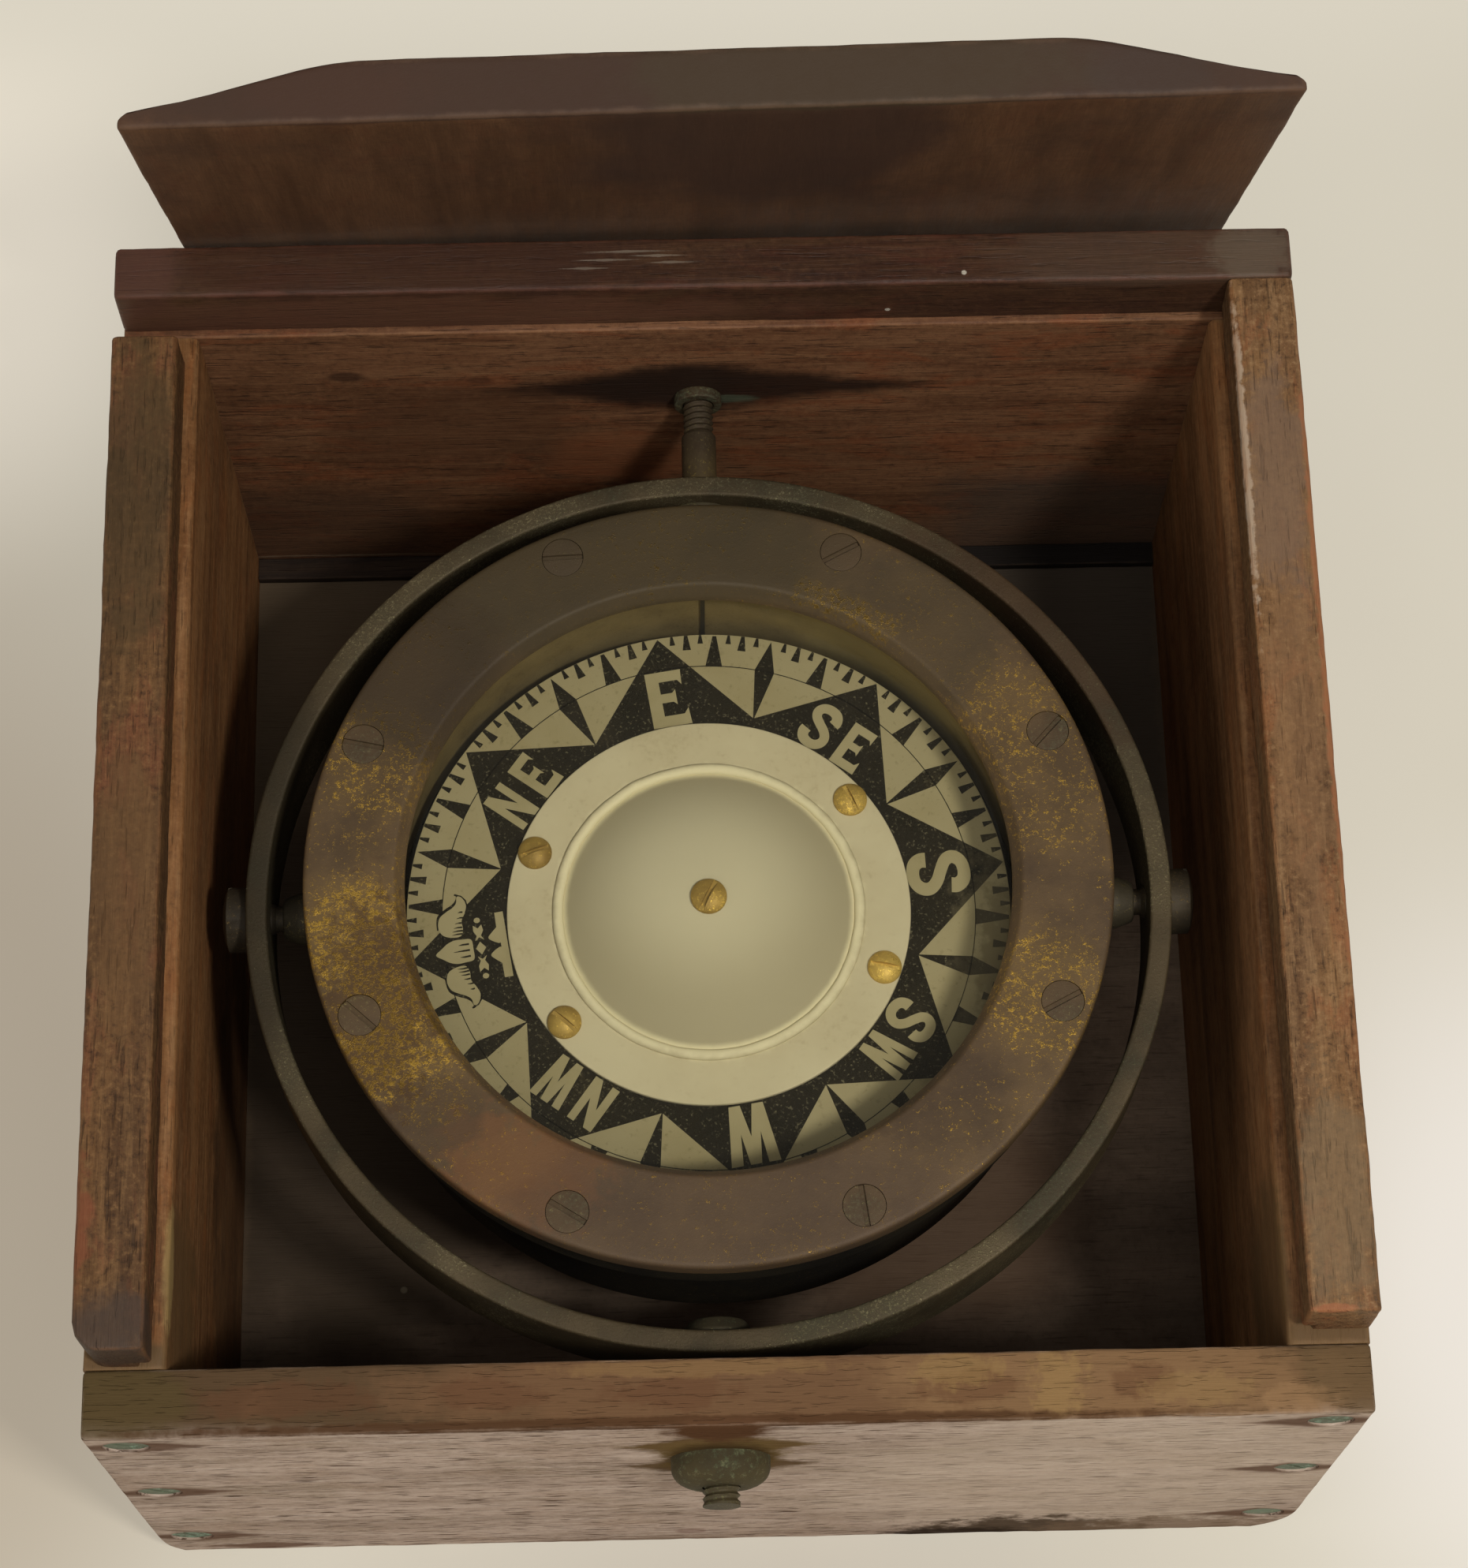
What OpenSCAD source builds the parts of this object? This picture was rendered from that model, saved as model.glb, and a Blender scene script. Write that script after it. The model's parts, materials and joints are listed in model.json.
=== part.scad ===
// Box compass: a liquid boat compass hung in gimbals inside a square hardwood
// box with a sliding lid. The lid is drawn out and leans against the rear rail.
// Origin: centre of the box's underside. +X right, +Y to the rear, +Z up.

/* [Box] */
// Width of the box over its side walls
box_w = 180; // [172:1:190]
// Depth of the box from front face to rear face
box_d = 181; // [178:1:190]
// Height of the walls' top edge above the table
wall_top = 90; // [88:1:100]
// Thickness of the front and rear walls
end_t = 9.7; // [8:0.1:10]
// Thickness of the side walls
side_t = 11.6; // [11:0.1:12]
// Thickness of the floor board between the walls
floor_t = 6; // [5:0.5:7]
// Height of the cleats and the rear rail above the walls
cleat_h = 11.3; // [10:0.1:13]
// Width of a side cleat
cleat_w = 10; // [9.8:0.1:10.4]
// Depth of the rear rail, front to rear
rail_d = 8.6; // [8:0.1:9.4]

/* [Lid] */
// Length of the lid along the box
lid_l = 172; // [165:1:174]
// Thickness of the lid at its raised field
lid_t = 8.6; // [7:0.1:9]
// Thickness of the lid's feathered side edges
lid_edge = 1.4; // [1.2:0.1:1.6]
// Width of each bevelled border beside the field
lid_bevel = 29.5; // [24:0.5:34]
// Lean of the drawn lid from upright
lid_lean = 16; // [14:0.5:18]
// Turn of the drawn lid about the vertical
lid_turn = 1; // [0:0.1:1.2]

/* [Gimbal] */
// Height of the gimbal centre above the table
pivot_z = 67; // [66:0.5:69]
// Offset of the gimbal centre to the right of the box's middle
pivot_x = -1.2; // [-1.5:0.1:1.5]
// Offset of the gimbal centre to the rear of the box's middle
pivot_y = -6.8; // [-7:0.1:-5]
// Outer radius of the gimbal ring
ring_r = 69.8; // [69.5:0.1:70]
// Thickness of the gimbal ring's band
ring_t = 3.3; // [3:0.1:3.4]
// Height of the gimbal ring's band
ring_h = 15; // [13:0.5:15]
// Diameter of the pivot pins
pin_d = 4; // [3.5:0.1:4.5]

/* [Bowl] */
// Outer radius of the bezel
bezel_r = 60.1; // [59.5:0.1:60.2]
// Inner radius of the bezel at its foot
bezel_bore = 45.2; // [44:0.1:46]
// Thickness of the bezel
bezel_t = 3.5; // [3:0.1:3.8]
// Height of the bezel's foot above the gimbal centre
rim_top = 14.5; // [13:0.1:14.6]
// Outer radius of the bowl's drum
drum_r = 55.5; // [55:0.1:56]
// Thickness of the glass
glass_t = 3; // [2.5:0.1:3.2]
// Radius of the circle of bezel screws
bezel_pcd = 55.6; // [55.4:0.1:55.8]

/* [Card] */
// Radius of the compass card
card_r = 46.1; // [44:0.1:46.6]
// Radius of the float's flange
flange_r = 30.8; // [30:0.1:31]
// Radius of the float's dome
dome_r = 22.2; // [21.5:0.1:22.6]
// Height of the float's dome
dome_h = 6.1; // [6:0.1:6.8]
// Direction in which the card's north point rests, from +X
card_north = 189; // [0:1:359]

/* [Hidden] */

$fn = 96;
// Radial clearance of a turning fit
run = 0.04;
// Radial clearance round a fixed screw or dowel
bore_gap = 0.05;
// Overshoot of a cut past the face that it leaves
over = 1;

front_y = -box_d / 2;
rear_y = box_d / 2;
front_in = front_y + end_t;
rear_in = rear_y - end_t;
side_in = box_w / 2 - side_t;
cleat_in = box_w / 2 - cleat_w;
cleat_top = wall_top + cleat_h;
rail_front = rear_y - rail_d;

// Groove at the foot of each cleat, in which the lid's edge slides
groove_d = 2;
groove_h = 2.6;
right_cleat_front = front_in + 2;
left_cleat_front = front_in + 0.3;
left_cleat_rear = rail_front - 6.5;

// Lid
lid_w = 2 * (cleat_in + groove_d - 1);
lid_contact_gap = 0.35;
lid_x = 0.5;

// Worn lower corners of the front wall, as half axes of an ellipse
worn_left = [3.5, 12];
worn_right = [7.5, 14];
worn_steps = 6;

// Wall screws: brass wood screws, three to each corner
wood_screw_head = 3.2;
wood_screw_shank = 1.5;
wood_screw_len = 28;
wood_screw_z = [13, 50, 84];
wood_screw_x = box_w / 2 - side_t / 2 + 0.3;
wood_screw_taper = 2.2;
wood_slot = [8, 1.2, 0.9];
floor_pin_r = 1;
floor_pin_len = 20;
floor_pin_y = [-62, -20, 20, 62];
dowel_r = 2;
dowel_reach = 7;
dowel_inset = 4.6;
dowel_y = [-60, 0, 60];
batten_w = 4;
batten_h = 2;

// Gimbal pivots
ring_in = ring_r - ring_t;
pin_r = pin_d / 2;
bush_r = 5.5;
bush_proud = 2.8;
bush_shank = 3.2;
front_collar = 4;
rod_plain = 2.75;
rod_thread = 2.4;
front_stub = 7;
rear_stub = 5.2;
nut_r = 7.2;
nut_rim = 1.5;
nut_neck = 3.4;
nut_t = 4.3;
nut_steps = 5;
lock_nut_r = 3.8;
lock_nut_t = 1.8;
bowl_screw_head = 5;
bowl_screw_head_t = 4.1;
bowl_screw_thread = 2.5;
trunnion_r = 4;
trunnion_end = 64.6;

// Bowl, heights measured from the gimbal centre
bezel_top = rim_top + bezel_t;
rim_r = bezel_r - 1.1;
rim_foot = 4.5;
seat_z = rim_top - glass_t - 1;
rebate_r = 51.3;
ledge_r = 48.9;
drum_wall = 2.2;
drum_foot = -22;
shoulder = 9.5;
bottom_t = drum_wall;
bottom_z = drum_foot - shoulder;
well_wall = 0.6;
well_foot = -9;
bezel_screw_head = 3.1;
bezel_screw_shank = 1.5;
bezel_slots = [25, -40, 70, 10, -65, 80, -15, 50];

// Expansion chamber and ballast under the bowl
cover_r = 38;
cover_screw_pcd = 34.5;
cover_screw_shank = 1.3;
cover_dish_r = 29;
cover_z = bottom_z - 8.5;
sheet = 1.6;
membrane_t = 0.4;
passage_pcd = 22;
passage_r = 5;
ripple_r = 28;
filler_y = 42;
filler_r = 2.5;
post_foot_r = 2.5;
ballast_r = 28;
ballast_t = 8;
ballast_screw_pcd = 18;
ballast_screw_shank = 1.5;

// Card and float, heights measured from the gimbal centre
card_top = -0.5;
card_t = 0.6;
flange_t = 0.8;
lip_bead = 0.85;
lip_r = dome_r + lip_bead + 0.05;
dome_wall = 0.6;
dome_foot = card_top + flange_t;
dome_top = dome_foot + dome_h;
dome_sphere = (dome_r * dome_r + dome_h * dome_h) / (2 * dome_h);
float_screw_pcd = 28.2;
float_screw_head = 2.55;
float_screw_shank = 1.2;
screw_spread = 29.3;
cup_r = 2.2;
cup_flange_r = 3.2;
cup_top = dome_top - dome_wall - 0.08;
cup_foot = 2.6;
jewel_r = 1.2;
jewel_foot = cup_foot + 0.3;
jewel_tip = cup_foot + 1.3;
pivot_pin_r = 0.8;
needle_side = float_screw_pcd * sin(screw_spread);
needle_end = float_screw_pcd * cos(screw_spread);
carrier_w = 6.4;
carrier_h = 4;

// Places children at the gimbal centre
module at_pivot() translate([pivot_x, pivot_y, pivot_z]) children();

// A round bar along +Y from y0 to y1 on the box's pivot line
module pivot_bar(y0, y1, r)
    translate([pivot_x, y0, pivot_z]) rotate([-90, 0, 0]) cylinder(h = y1 - y0, r = r);

// Turns a body of revolution about Z to lie along X, its top outward on side +1 or -1
module lay_along_x(side) rotate([0, 90 * side, 0]) children();

// A countersunk wood screw with its head at the origin, pointing along +Z
module wood_screw(gap = 0) rotate_extrude()
    polygon([[0, 0], [wood_screw_head + gap, 0], [wood_screw_shank + gap, wood_screw_taper],
             [wood_screw_shank + gap, wood_screw_len + gap], [0, wood_screw_len + gap]]);

// The six wood screws of one end wall; dir is +1 for the front and -1 for the rear
module wall_screw_set(y, dir, gap = 0) for (x = [-wood_screw_x, wood_screw_x], z = wood_screw_z)
    translate([x, y, z]) rotate([-90 * dir, 0, 0]) wood_screw(gap);

// Screw slots, each turned as its screw happened to stop
module wall_screw_slots(y) for (x = [-wood_screw_x, wood_screw_x], z = wood_screw_z)
    translate([x, y, z]) rotate([0, 20 * sign(x) + z, 0]) cube(wood_slot, center = true);

module floor_pin_set(gap = 0) for (side = [-1, 1], y = floor_pin_y)
    translate([side * box_w / 2, y, floor_t / 2]) rotate([0, -90 * side, 0])
        cylinder(h = floor_pin_len + gap, r = floor_pin_r + gap);

module dowel_set(gap = 0) {
    for (side = [-1, 1], y = dowel_y)
        translate([side * (box_w / 2 - dowel_inset), y, wall_top - dowel_reach - gap])
            cylinder(h = 2 * (dowel_reach + gap), r = dowel_r + gap);
    for (x = dowel_y)
        translate([x, rear_y - dowel_inset, wall_top - dowel_reach - gap])
            cylinder(h = 2 * (dowel_reach + gap), r = dowel_r + gap);
}

// Quarter ellipse at a lower corner of the front wall; side is -1 left, +1 right
function worn_corner(side, half) = [for (k = [0:worn_steps]) let (a = side > 0 ? 90 * k / worn_steps
    : 90 - 90 * k / worn_steps) [side * (box_w / 2 - half[0] + half[0] * sin(a)), half[1] * (1 - cos(a))]];

module front_wall() color("rosybrown") difference() {
    translate([0, front_in, 0]) rotate([90, 0, 0]) linear_extrude(end_t)
        polygon(concat(worn_corner(1, worn_right),
                       [[box_w / 2, wall_top], [-box_w / 2, wall_top]],
                       worn_corner(-1, worn_left)));
    pivot_bar(front_y - over, front_in + over, rod_plain + bore_gap);
    wall_screw_set(front_y, 1, bore_gap);
}

module rear_wall() color("saddlebrown") difference() {
    translate([-box_w / 2, rear_in, 0]) cube([box_w, end_t, wall_top]);
    pivot_bar(rear_in - over, rear_y + over, rod_thread + bore_gap);
    wall_screw_set(rear_y, -1, bore_gap);
    dowel_set(bore_gap);
}

module side_wall(side) difference() {
    translate([side > 0 ? side_in : -box_w / 2, front_in, 0])
        cube([side_t, rear_in - front_in, wall_top]);
    wall_screw_set(front_y, 1, bore_gap);
    wall_screw_set(rear_y, -1, bore_gap);
    dowel_set(bore_gap);
    floor_pin_set(bore_gap);
}

module left_wall() color("sienna") side_wall(-1);

module right_wall() color("sienna") side_wall(1);

module floor_board() color("dimgray") difference() {
    translate([-side_in, front_in, 0]) cube([2 * side_in, rear_in - front_in, floor_t]);
    floor_pin_set(bore_gap);
}

module rear_batten() color("black")
    translate([-side_in, rear_in - batten_w, floor_t]) cube([2 * side_in, batten_w, batten_h]);

// Cross-section of the right cleat, undercut for the lid's feathered edge
module cleat_section() polygon([
    [cleat_in + groove_d, wall_top], [box_w / 2, wall_top], [box_w / 2, cleat_top],
    [cleat_in, cleat_top], [cleat_in, wall_top + groove_h],
    [cleat_in + groove_d, wall_top + groove_h - 0.5]]);

module cleat(y0, y1) difference() {
    translate([0, y1, 0]) rotate([90, 0, 0]) linear_extrude(y1 - y0) cleat_section();
    dowel_set(bore_gap);
}

module left_cleat() color("brown") mirror([1, 0, 0])
    cleat(left_cleat_front, left_cleat_rear);

module right_cleat() color("brown") cleat(right_cleat_front, rail_front);

module rear_rail() color("maroon") difference() {
    translate([-box_w / 2, rail_front, wall_top]) cube([box_w, rail_d, cleat_h]);
    dowel_set(bore_gap);
}

module cleat_dowels() color("burlywood") dowel_set();

module wall_screws() color("darkseagreen") difference() {
    union() {
        wall_screw_set(front_y, 1);
        wall_screw_set(rear_y, -1);
    }
    wall_screw_slots(front_y);
    wall_screw_slots(rear_y);
}

module floor_pins() color("darkseagreen") floor_pin_set();

// The ring's end of the front screw is a plain pin; a collar stands off the wall
module front_pivot_screw() color("olive") {
    ring_front = pivot_y - ring_r;
    union() {
        pivot_bar(front_y - front_stub, front_in, rod_plain);
        pivot_bar(front_in, ring_front - 0.5, front_collar);
        pivot_bar(ring_front - 0.5, ring_front + ring_t + bush_proud - 0.4, pin_r);
    }
}

// A round nut with a domed face, from its foot at z = 0 up to nut_t
module domed_nut(bore) rotate_extrude()
    polygon([[bore, 0], [nut_r, 0],
             for (k = [0 : nut_steps]) let (a = 90 * k / nut_steps)
                 [nut_neck + (nut_r - nut_neck) * cos(a), nut_rim + (nut_t - nut_rim) * sin(a)],
             [bore, nut_t]]);

module front_pivot_nut() color("darkolivegreen")
    translate([pivot_x, front_y, pivot_z]) rotate([90, 0, 0]) domed_nut(rod_plain + bore_gap);

module rear_pivot_screw() color("olive") {
    ring_rear = pivot_y + ring_r;
    thread_from = ring_rear + 10.5;
    union() {
        pivot_bar(ring_rear - ring_t - bush_proud + 0.4, ring_rear + 0.5, pin_r);
        pivot_bar(ring_rear + 0.5, thread_from, rod_plain);
        pivot_bar(thread_from, rear_y + rear_stub, rod_thread);
    }
}

module rear_pivot_nut() color("darkolivegreen")
    translate([pivot_x, rear_y, pivot_z]) rotate([-90, 0, 0]) domed_nut(rod_thread + bore_gap);

module rear_lock_nut() color("darkolivegreen") difference() {
    pivot_bar(rear_in - lock_nut_t, rear_in, lock_nut_r);
    pivot_bar(rear_in - lock_nut_t - over, rear_in + over, rod_thread + bore_gap);
}

// A round bar along X on the bowl's pivot line, from x0 to x1 out from the centre
module cross_bar(x0, x1, r) for (side = [-1, 1])
    at_pivot() lay_along_x(side) translate([0, 0, x0]) cylinder(h = x1 - x0, r = r);

module gimbal_ring() color("dimgray") difference() {
    at_pivot() rotate_extrude($fn = 180)
        translate([ring_in, -ring_h / 2]) square([ring_t, ring_h]);
    pivot_bar(pivot_y - ring_r - over, pivot_y + ring_r + over, bush_shank + bore_gap);
    cross_bar(ring_in - over, ring_r + over, bowl_screw_thread + bore_gap);
}

// Bushes in which the box's two pins turn, each with a chamfered inner collar
module ring_bushes() color("darkkhaki") for (turn = [0, 180]) difference() {
    at_pivot() rotate([0, 0, turn]) rotate([90, 0, 0]) rotate_extrude()
        polygon([[0, ring_in - bush_proud], [bush_r - 1.5, ring_in - bush_proud],
                 [bush_r, ring_in - 0.8], [bush_r, ring_in - 0.25], [bush_shank, ring_in - 0.25],
                 [bush_shank, ring_r - 0.4], [0, ring_r - 0.4]]);
    pivot_bar(pivot_y - ring_r - over, pivot_y + ring_r + over, pin_r + run);
}

module bowl_pivot_screws() color("olive") for (side = [-1, 1]) at_pivot() lay_along_x(side)
    difference() {
        rotate_extrude() polygon([
            [0, trunnion_end - 4.2], [pin_r, trunnion_end - 4.2], [pin_r, ring_in - 0.8],
            [bowl_screw_thread, ring_in - 0.2], [bowl_screw_thread, ring_r],
            [bowl_screw_head, ring_r], [bowl_screw_head, ring_r + bowl_screw_head_t - 0.5],
            [bowl_screw_head - 0.5, ring_r + bowl_screw_head_t], [0, ring_r + bowl_screw_head_t]]);
        translate([0, 0, ring_r + bowl_screw_head_t])
            rotate([0, 0, 35 * side]) cube([12, 1.2, 2.4], center = true);
    }

// Quarter arc from the drum wall into the bottom, turned inward by t
function shoulder_arc(t) = [for (k = [0:6]) let (a = 90 * k / 6)
    [drum_r - shoulder + (shoulder - t) * cos(a), drum_foot - (shoulder - t) * sin(a)]];
function reversed(list) = [for (k = [len(list) - 1:-1:0]) list[k]];

module bowl_shell() color("darkslategray") difference() {
    at_pivot() rotate_extrude($fn = 180) polygon(concat(
        [[rebate_r, rim_top], [rim_r, rim_top], [rim_r, rim_foot + 1], [rim_r - 1, rim_foot],
         [drum_r, rim_foot - 0.5], [drum_r, drum_foot]],
        shoulder_arc(0),
        [[0, bottom_z], [0, bottom_z + bottom_t]],
        reversed(shoulder_arc(drum_wall)),
        [[drum_r - drum_wall, rim_foot - 1], [ledge_r, rim_foot + 2], [ledge_r, seat_z],
         [rebate_r, seat_z]]));
    cross_bar(drum_r - drum_wall - over, drum_r + over, trunnion_r + bore_gap);
    at_pivot() for (k = [0:7]) rotate([0, 0, 22.5 + 45 * k])
        translate([bezel_pcd, 0, rim_foot + 2]) cylinder(h = rim_top, r = bezel_screw_shank + bore_gap);
    at_pivot() for (k = [0:5]) rotate([0, 0, 60 * k]) {
        translate([passage_pcd, 0, bottom_z - over]) cylinder(h = bottom_t + 2 * over, r = passage_r);
        rotate([0, 0, 30]) translate([cover_screw_pcd, 0, bottom_z - over])
            cylinder(h = bottom_t + 2 * over, r = cover_screw_shank + bore_gap);
    }
    at_pivot() translate([0, 0, bottom_z - over])
        cylinder(h = bottom_t + 2 * over, r = post_foot_r + bore_gap);
    at_pivot() translate([0, filler_y, bottom_z - over])
        cylinder(h = bottom_t + 2 * over, r = filler_r + bore_gap);
}

// Blind-bored bosses let into the drum's sides
module bowl_trunnions() color("darkolivegreen") for (side = [-1, 1]) at_pivot() lay_along_x(side)
    rotate_extrude() polygon([
        [0, drum_r - drum_wall], [trunnion_r, drum_r - drum_wall], [trunnion_r, trunnion_end - 2.4],
        [trunnion_r - 0.8, trunnion_end], [pin_r + run, trunnion_end],
        [pin_r + run, trunnion_end - 5.2], [0, trunnion_end - 5.2]]);

module bezel_screw_body(gap = 0) rotate_extrude() polygon([
    [0, bezel_top], [bezel_screw_head + gap, bezel_top], [bezel_screw_shank + gap, bezel_top - 1.7],
    [bezel_screw_shank + gap, rim_foot + 3.5], [0, rim_foot + 3.5]]);

module bezel_ring() color("saddlebrown") at_pivot() difference() {
    rotate_extrude($fn = 180) polygon([
        [bezel_bore, rim_top], [bezel_r, rim_top], [bezel_r, bezel_top - 0.8],
        [bezel_r - 0.8, bezel_top], [bezel_bore + 1.2, bezel_top], [bezel_bore, rim_top + 0.8]]);
    for (k = [0:7]) rotate([0, 0, 22.5 + 45 * k]) translate([bezel_pcd, 0, 0])
        bezel_screw_body(bore_gap);
}

module bezel_screws() color("peru") at_pivot() for (k = [0:7]) rotate([0, 0, 22.5 + 45 * k])
    translate([bezel_pcd, 0, 0]) difference() {
        bezel_screw_body();
        rotate([0, 0, bezel_slots[k]]) translate([0, 0, bezel_top])
            cube([2 * bezel_screw_head + over, 0.9, 1.4], center = true);
    }

module ring_plate(r_in, r_out, z0, z1) rotate_extrude($fn = 180)
    translate([r_in, z0]) square([r_out - r_in, z1 - z0]);

module cover_glass() color("lightcyan", 0.3) at_pivot()
    translate([0, 0, rim_top - glass_t]) cylinder(h = glass_t, r = rebate_r - 0.1, $fn = 180);

module glass_gasket() color("black") at_pivot() ring_plate(ledge_r, rebate_r - 0.1, seat_z, seat_z + 1);

module card_well() color("darkkhaki") at_pivot()
    ring_plate(ledge_r - well_wall, ledge_r, well_foot, seat_z);

module lubber_line() color("black") at_pivot()
    translate([-0.35, ledge_r - well_wall - 0.3, well_foot + 1]) cube([0.7, 0.3, seat_z - well_foot - 1.2]);

module pivot_post() color("goldenrod") at_pivot() difference() {
    rotate_extrude() polygon([
        [0, bottom_z], [post_foot_r, bottom_z], [post_foot_r, bottom_z + bottom_t],
        [5.5, bottom_z + bottom_t],
        [5.5, bottom_z + 5], [3.4, bottom_z + 6.5], [3.4, -10], [1.6, -7.5], [0, -7.5]]);
    translate([0, 0, -16]) cylinder(h = 10, r = pivot_pin_r + bore_gap);
}

module pivot_pin() color("silver") at_pivot() rotate_extrude() polygon([
    [0, -16], [pivot_pin_r, -16], [pivot_pin_r, jewel_tip - 2], [0, jewel_tip - 0.1]]);

module filler_plug() color("goldenrod") at_pivot() translate([0, filler_y, 0]) difference() {
    head_z = bottom_z - 1.8;
    rotate_extrude() polygon([
        [0, head_z], [filler_r + 0.9, head_z], [filler_r + 0.9, bottom_z], [filler_r, bottom_z],
        [filler_r, bottom_z + bottom_t], [0, bottom_z + bottom_t]]);
    translate([0, 0, head_z]) cube([8, 0.9, 1.4], center = true);
}

// Ripple of the expansion diaphragm at radius r, dying out at the clamped rim
function ripple(r) = 0.55 * (1 - cos(360 * 4 * r / ripple_r));
ripple_steps = 32;
module diaphragm() color("darkgoldenrod") at_pivot() difference() {
    rotate_extrude() polygon(concat(
        [for (k = [0:ripple_steps]) let (r = ripple_r * k / ripple_steps) [r, bottom_z - ripple(r)]],
        [[cover_r - 0.5, bottom_z], [cover_r - 0.5, bottom_z - membrane_t]],
        [for (k = [ripple_steps:-1:0]) let (r = ripple_r * k / ripple_steps)
            [r, bottom_z - membrane_t - ripple(r)]]));
    for (k = [0:5]) rotate([0, 0, 30 + 60 * k]) translate([cover_screw_pcd, 0, bottom_z - over])
        cylinder(h = 2 * over, r = cover_screw_shank + bore_gap);
}

module bottom_cover() color("peru") at_pivot() difference() {
    rotate_extrude($fn = 180) polygon([
        [cover_r, bottom_z - membrane_t], [cover_r, bottom_z - membrane_t - sheet],
        [cover_dish_r + sheet, bottom_z - membrane_t - sheet], [cover_dish_r + sheet - 1.5, cover_z],
        [0, cover_z], [0, cover_z + sheet], [cover_dish_r - 1.5, cover_z + sheet],
        [cover_dish_r, bottom_z - membrane_t]]);
    for (k = [0:5]) rotate([0, 0, 30 + 60 * k]) translate([cover_screw_pcd, 0, bottom_z - 5])
        cylinder(h = 6, r = cover_screw_shank + bore_gap);
    for (k = [0:2]) rotate([0, 0, 120 * k]) translate([ballast_screw_pcd, 0, cover_z - over])
        cylinder(h = sheet + 2 * over, r = ballast_screw_shank + bore_gap);
}

module bottom_screws() color("goldenrod") at_pivot() for (k = [0:5]) rotate([0, 0, 30 + 60 * k])
    translate([cover_screw_pcd, 0, 0]) difference() {
        head_z = bottom_z - membrane_t - sheet;
        rotate_extrude($fn = 48) polygon([
            [0, head_z - 1.4], [2, head_z - 1.4], [2.5, head_z], [cover_screw_shank, head_z],
            [cover_screw_shank, bottom_z + bottom_t - 0.3], [0, bottom_z + bottom_t - 0.3]]);
        rotate([0, 0, 37 * k]) translate([0, 0, head_z - 1.4]) cube([6, 0.7, 1.2], center = true);
    }

module ballast_screw_body(gap = 0) rotate_extrude($fn = 48) polygon([
    [0, cover_z - ballast_t], [3 + gap, cover_z - ballast_t],
    [ballast_screw_shank + gap, cover_z - ballast_t + 1.8],
    [ballast_screw_shank + gap, cover_z + sheet], [0, cover_z + sheet]]);

module ballast_weight() color("slategray") at_pivot() difference() {
    rotate_extrude($fn = 180) polygon([
        [0, cover_z], [ballast_r, cover_z], [ballast_r, cover_z - ballast_t + 2],
        [ballast_r - 2, cover_z - ballast_t], [0, cover_z - ballast_t]]);
    for (k = [0:2]) rotate([0, 0, 120 * k]) translate([ballast_screw_pcd, 0, 0])
        ballast_screw_body(bore_gap);
}

module ballast_screws() color("goldenrod") at_pivot() for (k = [0:2]) rotate([0, 0, 120 * k])
    translate([ballast_screw_pcd, 0, 0]) difference() {
        ballast_screw_body();
        rotate([0, 0, 50 * k]) translate([0, 0, cover_z - ballast_t]) cube([7, 0.8, 1.4], center = true);
    }

// Places children at the four float screws, two at each end of the needles
module at_float_screws() at_pivot() for (a = [-screw_spread, screw_spread], half = [0, 180])
    rotate([0, 0, card_north + half + a]) translate([float_screw_pcd, 0, 0]) children();

module compass_card() color("wheat") difference() {
    at_pivot() ring_plate(dome_r + 0.4, card_r, card_top - card_t, card_top);
    at_float_screws() translate([0, 0, card_top - over])
        cylinder(h = 2 * over, r = float_screw_shank + bore_gap);
}

// Point of the dome at a radius, on its outer face or turned inward by t
function dome_arc(t, steps) = [for (k = [0:steps]) let (r = (dome_r - t) * k / steps)
    [r, dome_top - t - (dome_sphere - t) + sqrt(pow(dome_sphere - t, 2) - r * r)]];

// Half circle of the bead that stands on the flange round the dome's foot
function bead_arc(steps) = [for (k = [0:steps]) let (a = 180 - 180 * k / steps)
    [lip_r + lip_bead * cos(a), dome_foot + lip_bead * sin(a)]];

// Flange with a raised bead, and the dome inside it, in one spun sheet
module float_shell() color("antiquewhite") difference() {
    at_pivot() rotate_extrude($fn = 180) polygon(concat(
        dome_arc(0, 14), bead_arc(8),
        [[flange_r, dome_foot], [flange_r, card_top], [dome_r - dome_wall, card_top]],
        reversed(dome_arc(dome_wall, 14))));
    at_pivot() cylinder(h = 3 * dome_h, r = float_screw_shank + bore_gap);
    at_float_screws() translate([0, 0, card_top - over]) cylinder(h = 3, r = float_screw_shank + bore_gap);
}

// Plate that closes the dome, with a cone that clears the pivot pin
module float_base() color("antiquewhite") at_pivot() rotate_extrude() polygon([
    [6.5, card_top], [dome_r - dome_wall, card_top], [dome_r - dome_wall, card_top + 0.4],
    [7.2, card_top + 0.4], [cup_flange_r, cup_foot], [cup_r + bore_gap, cup_foot]]);

module pan_screw(head_r, head_h, shank_r, len, slot_turn) difference() {
    rotate_extrude($fn = 64) polygon([
        [0, head_h], [head_r * 0.45, head_h * 0.93], [head_r * 0.8, head_h * 0.68],
        [head_r, head_h * 0.25], [head_r, 0], [shank_r, 0], [shank_r, -len], [0, -len]]);
    rotate([0, 0, slot_turn]) translate([0, 0, head_h]) cube([3 * head_r, 0.7, head_h], center = true);
}

module float_screws() color("gold") at_float_screws()
    translate([0, 0, dome_foot]) pan_screw(float_screw_head, 1.5, float_screw_shank, 4.6, 25);

module cap_screw() color("gold") at_pivot() translate([0, 0, dome_top])
    rotate([0, 0, 65]) pan_screw(2.8, 1.7, float_screw_shank, 1.3, 0);

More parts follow.
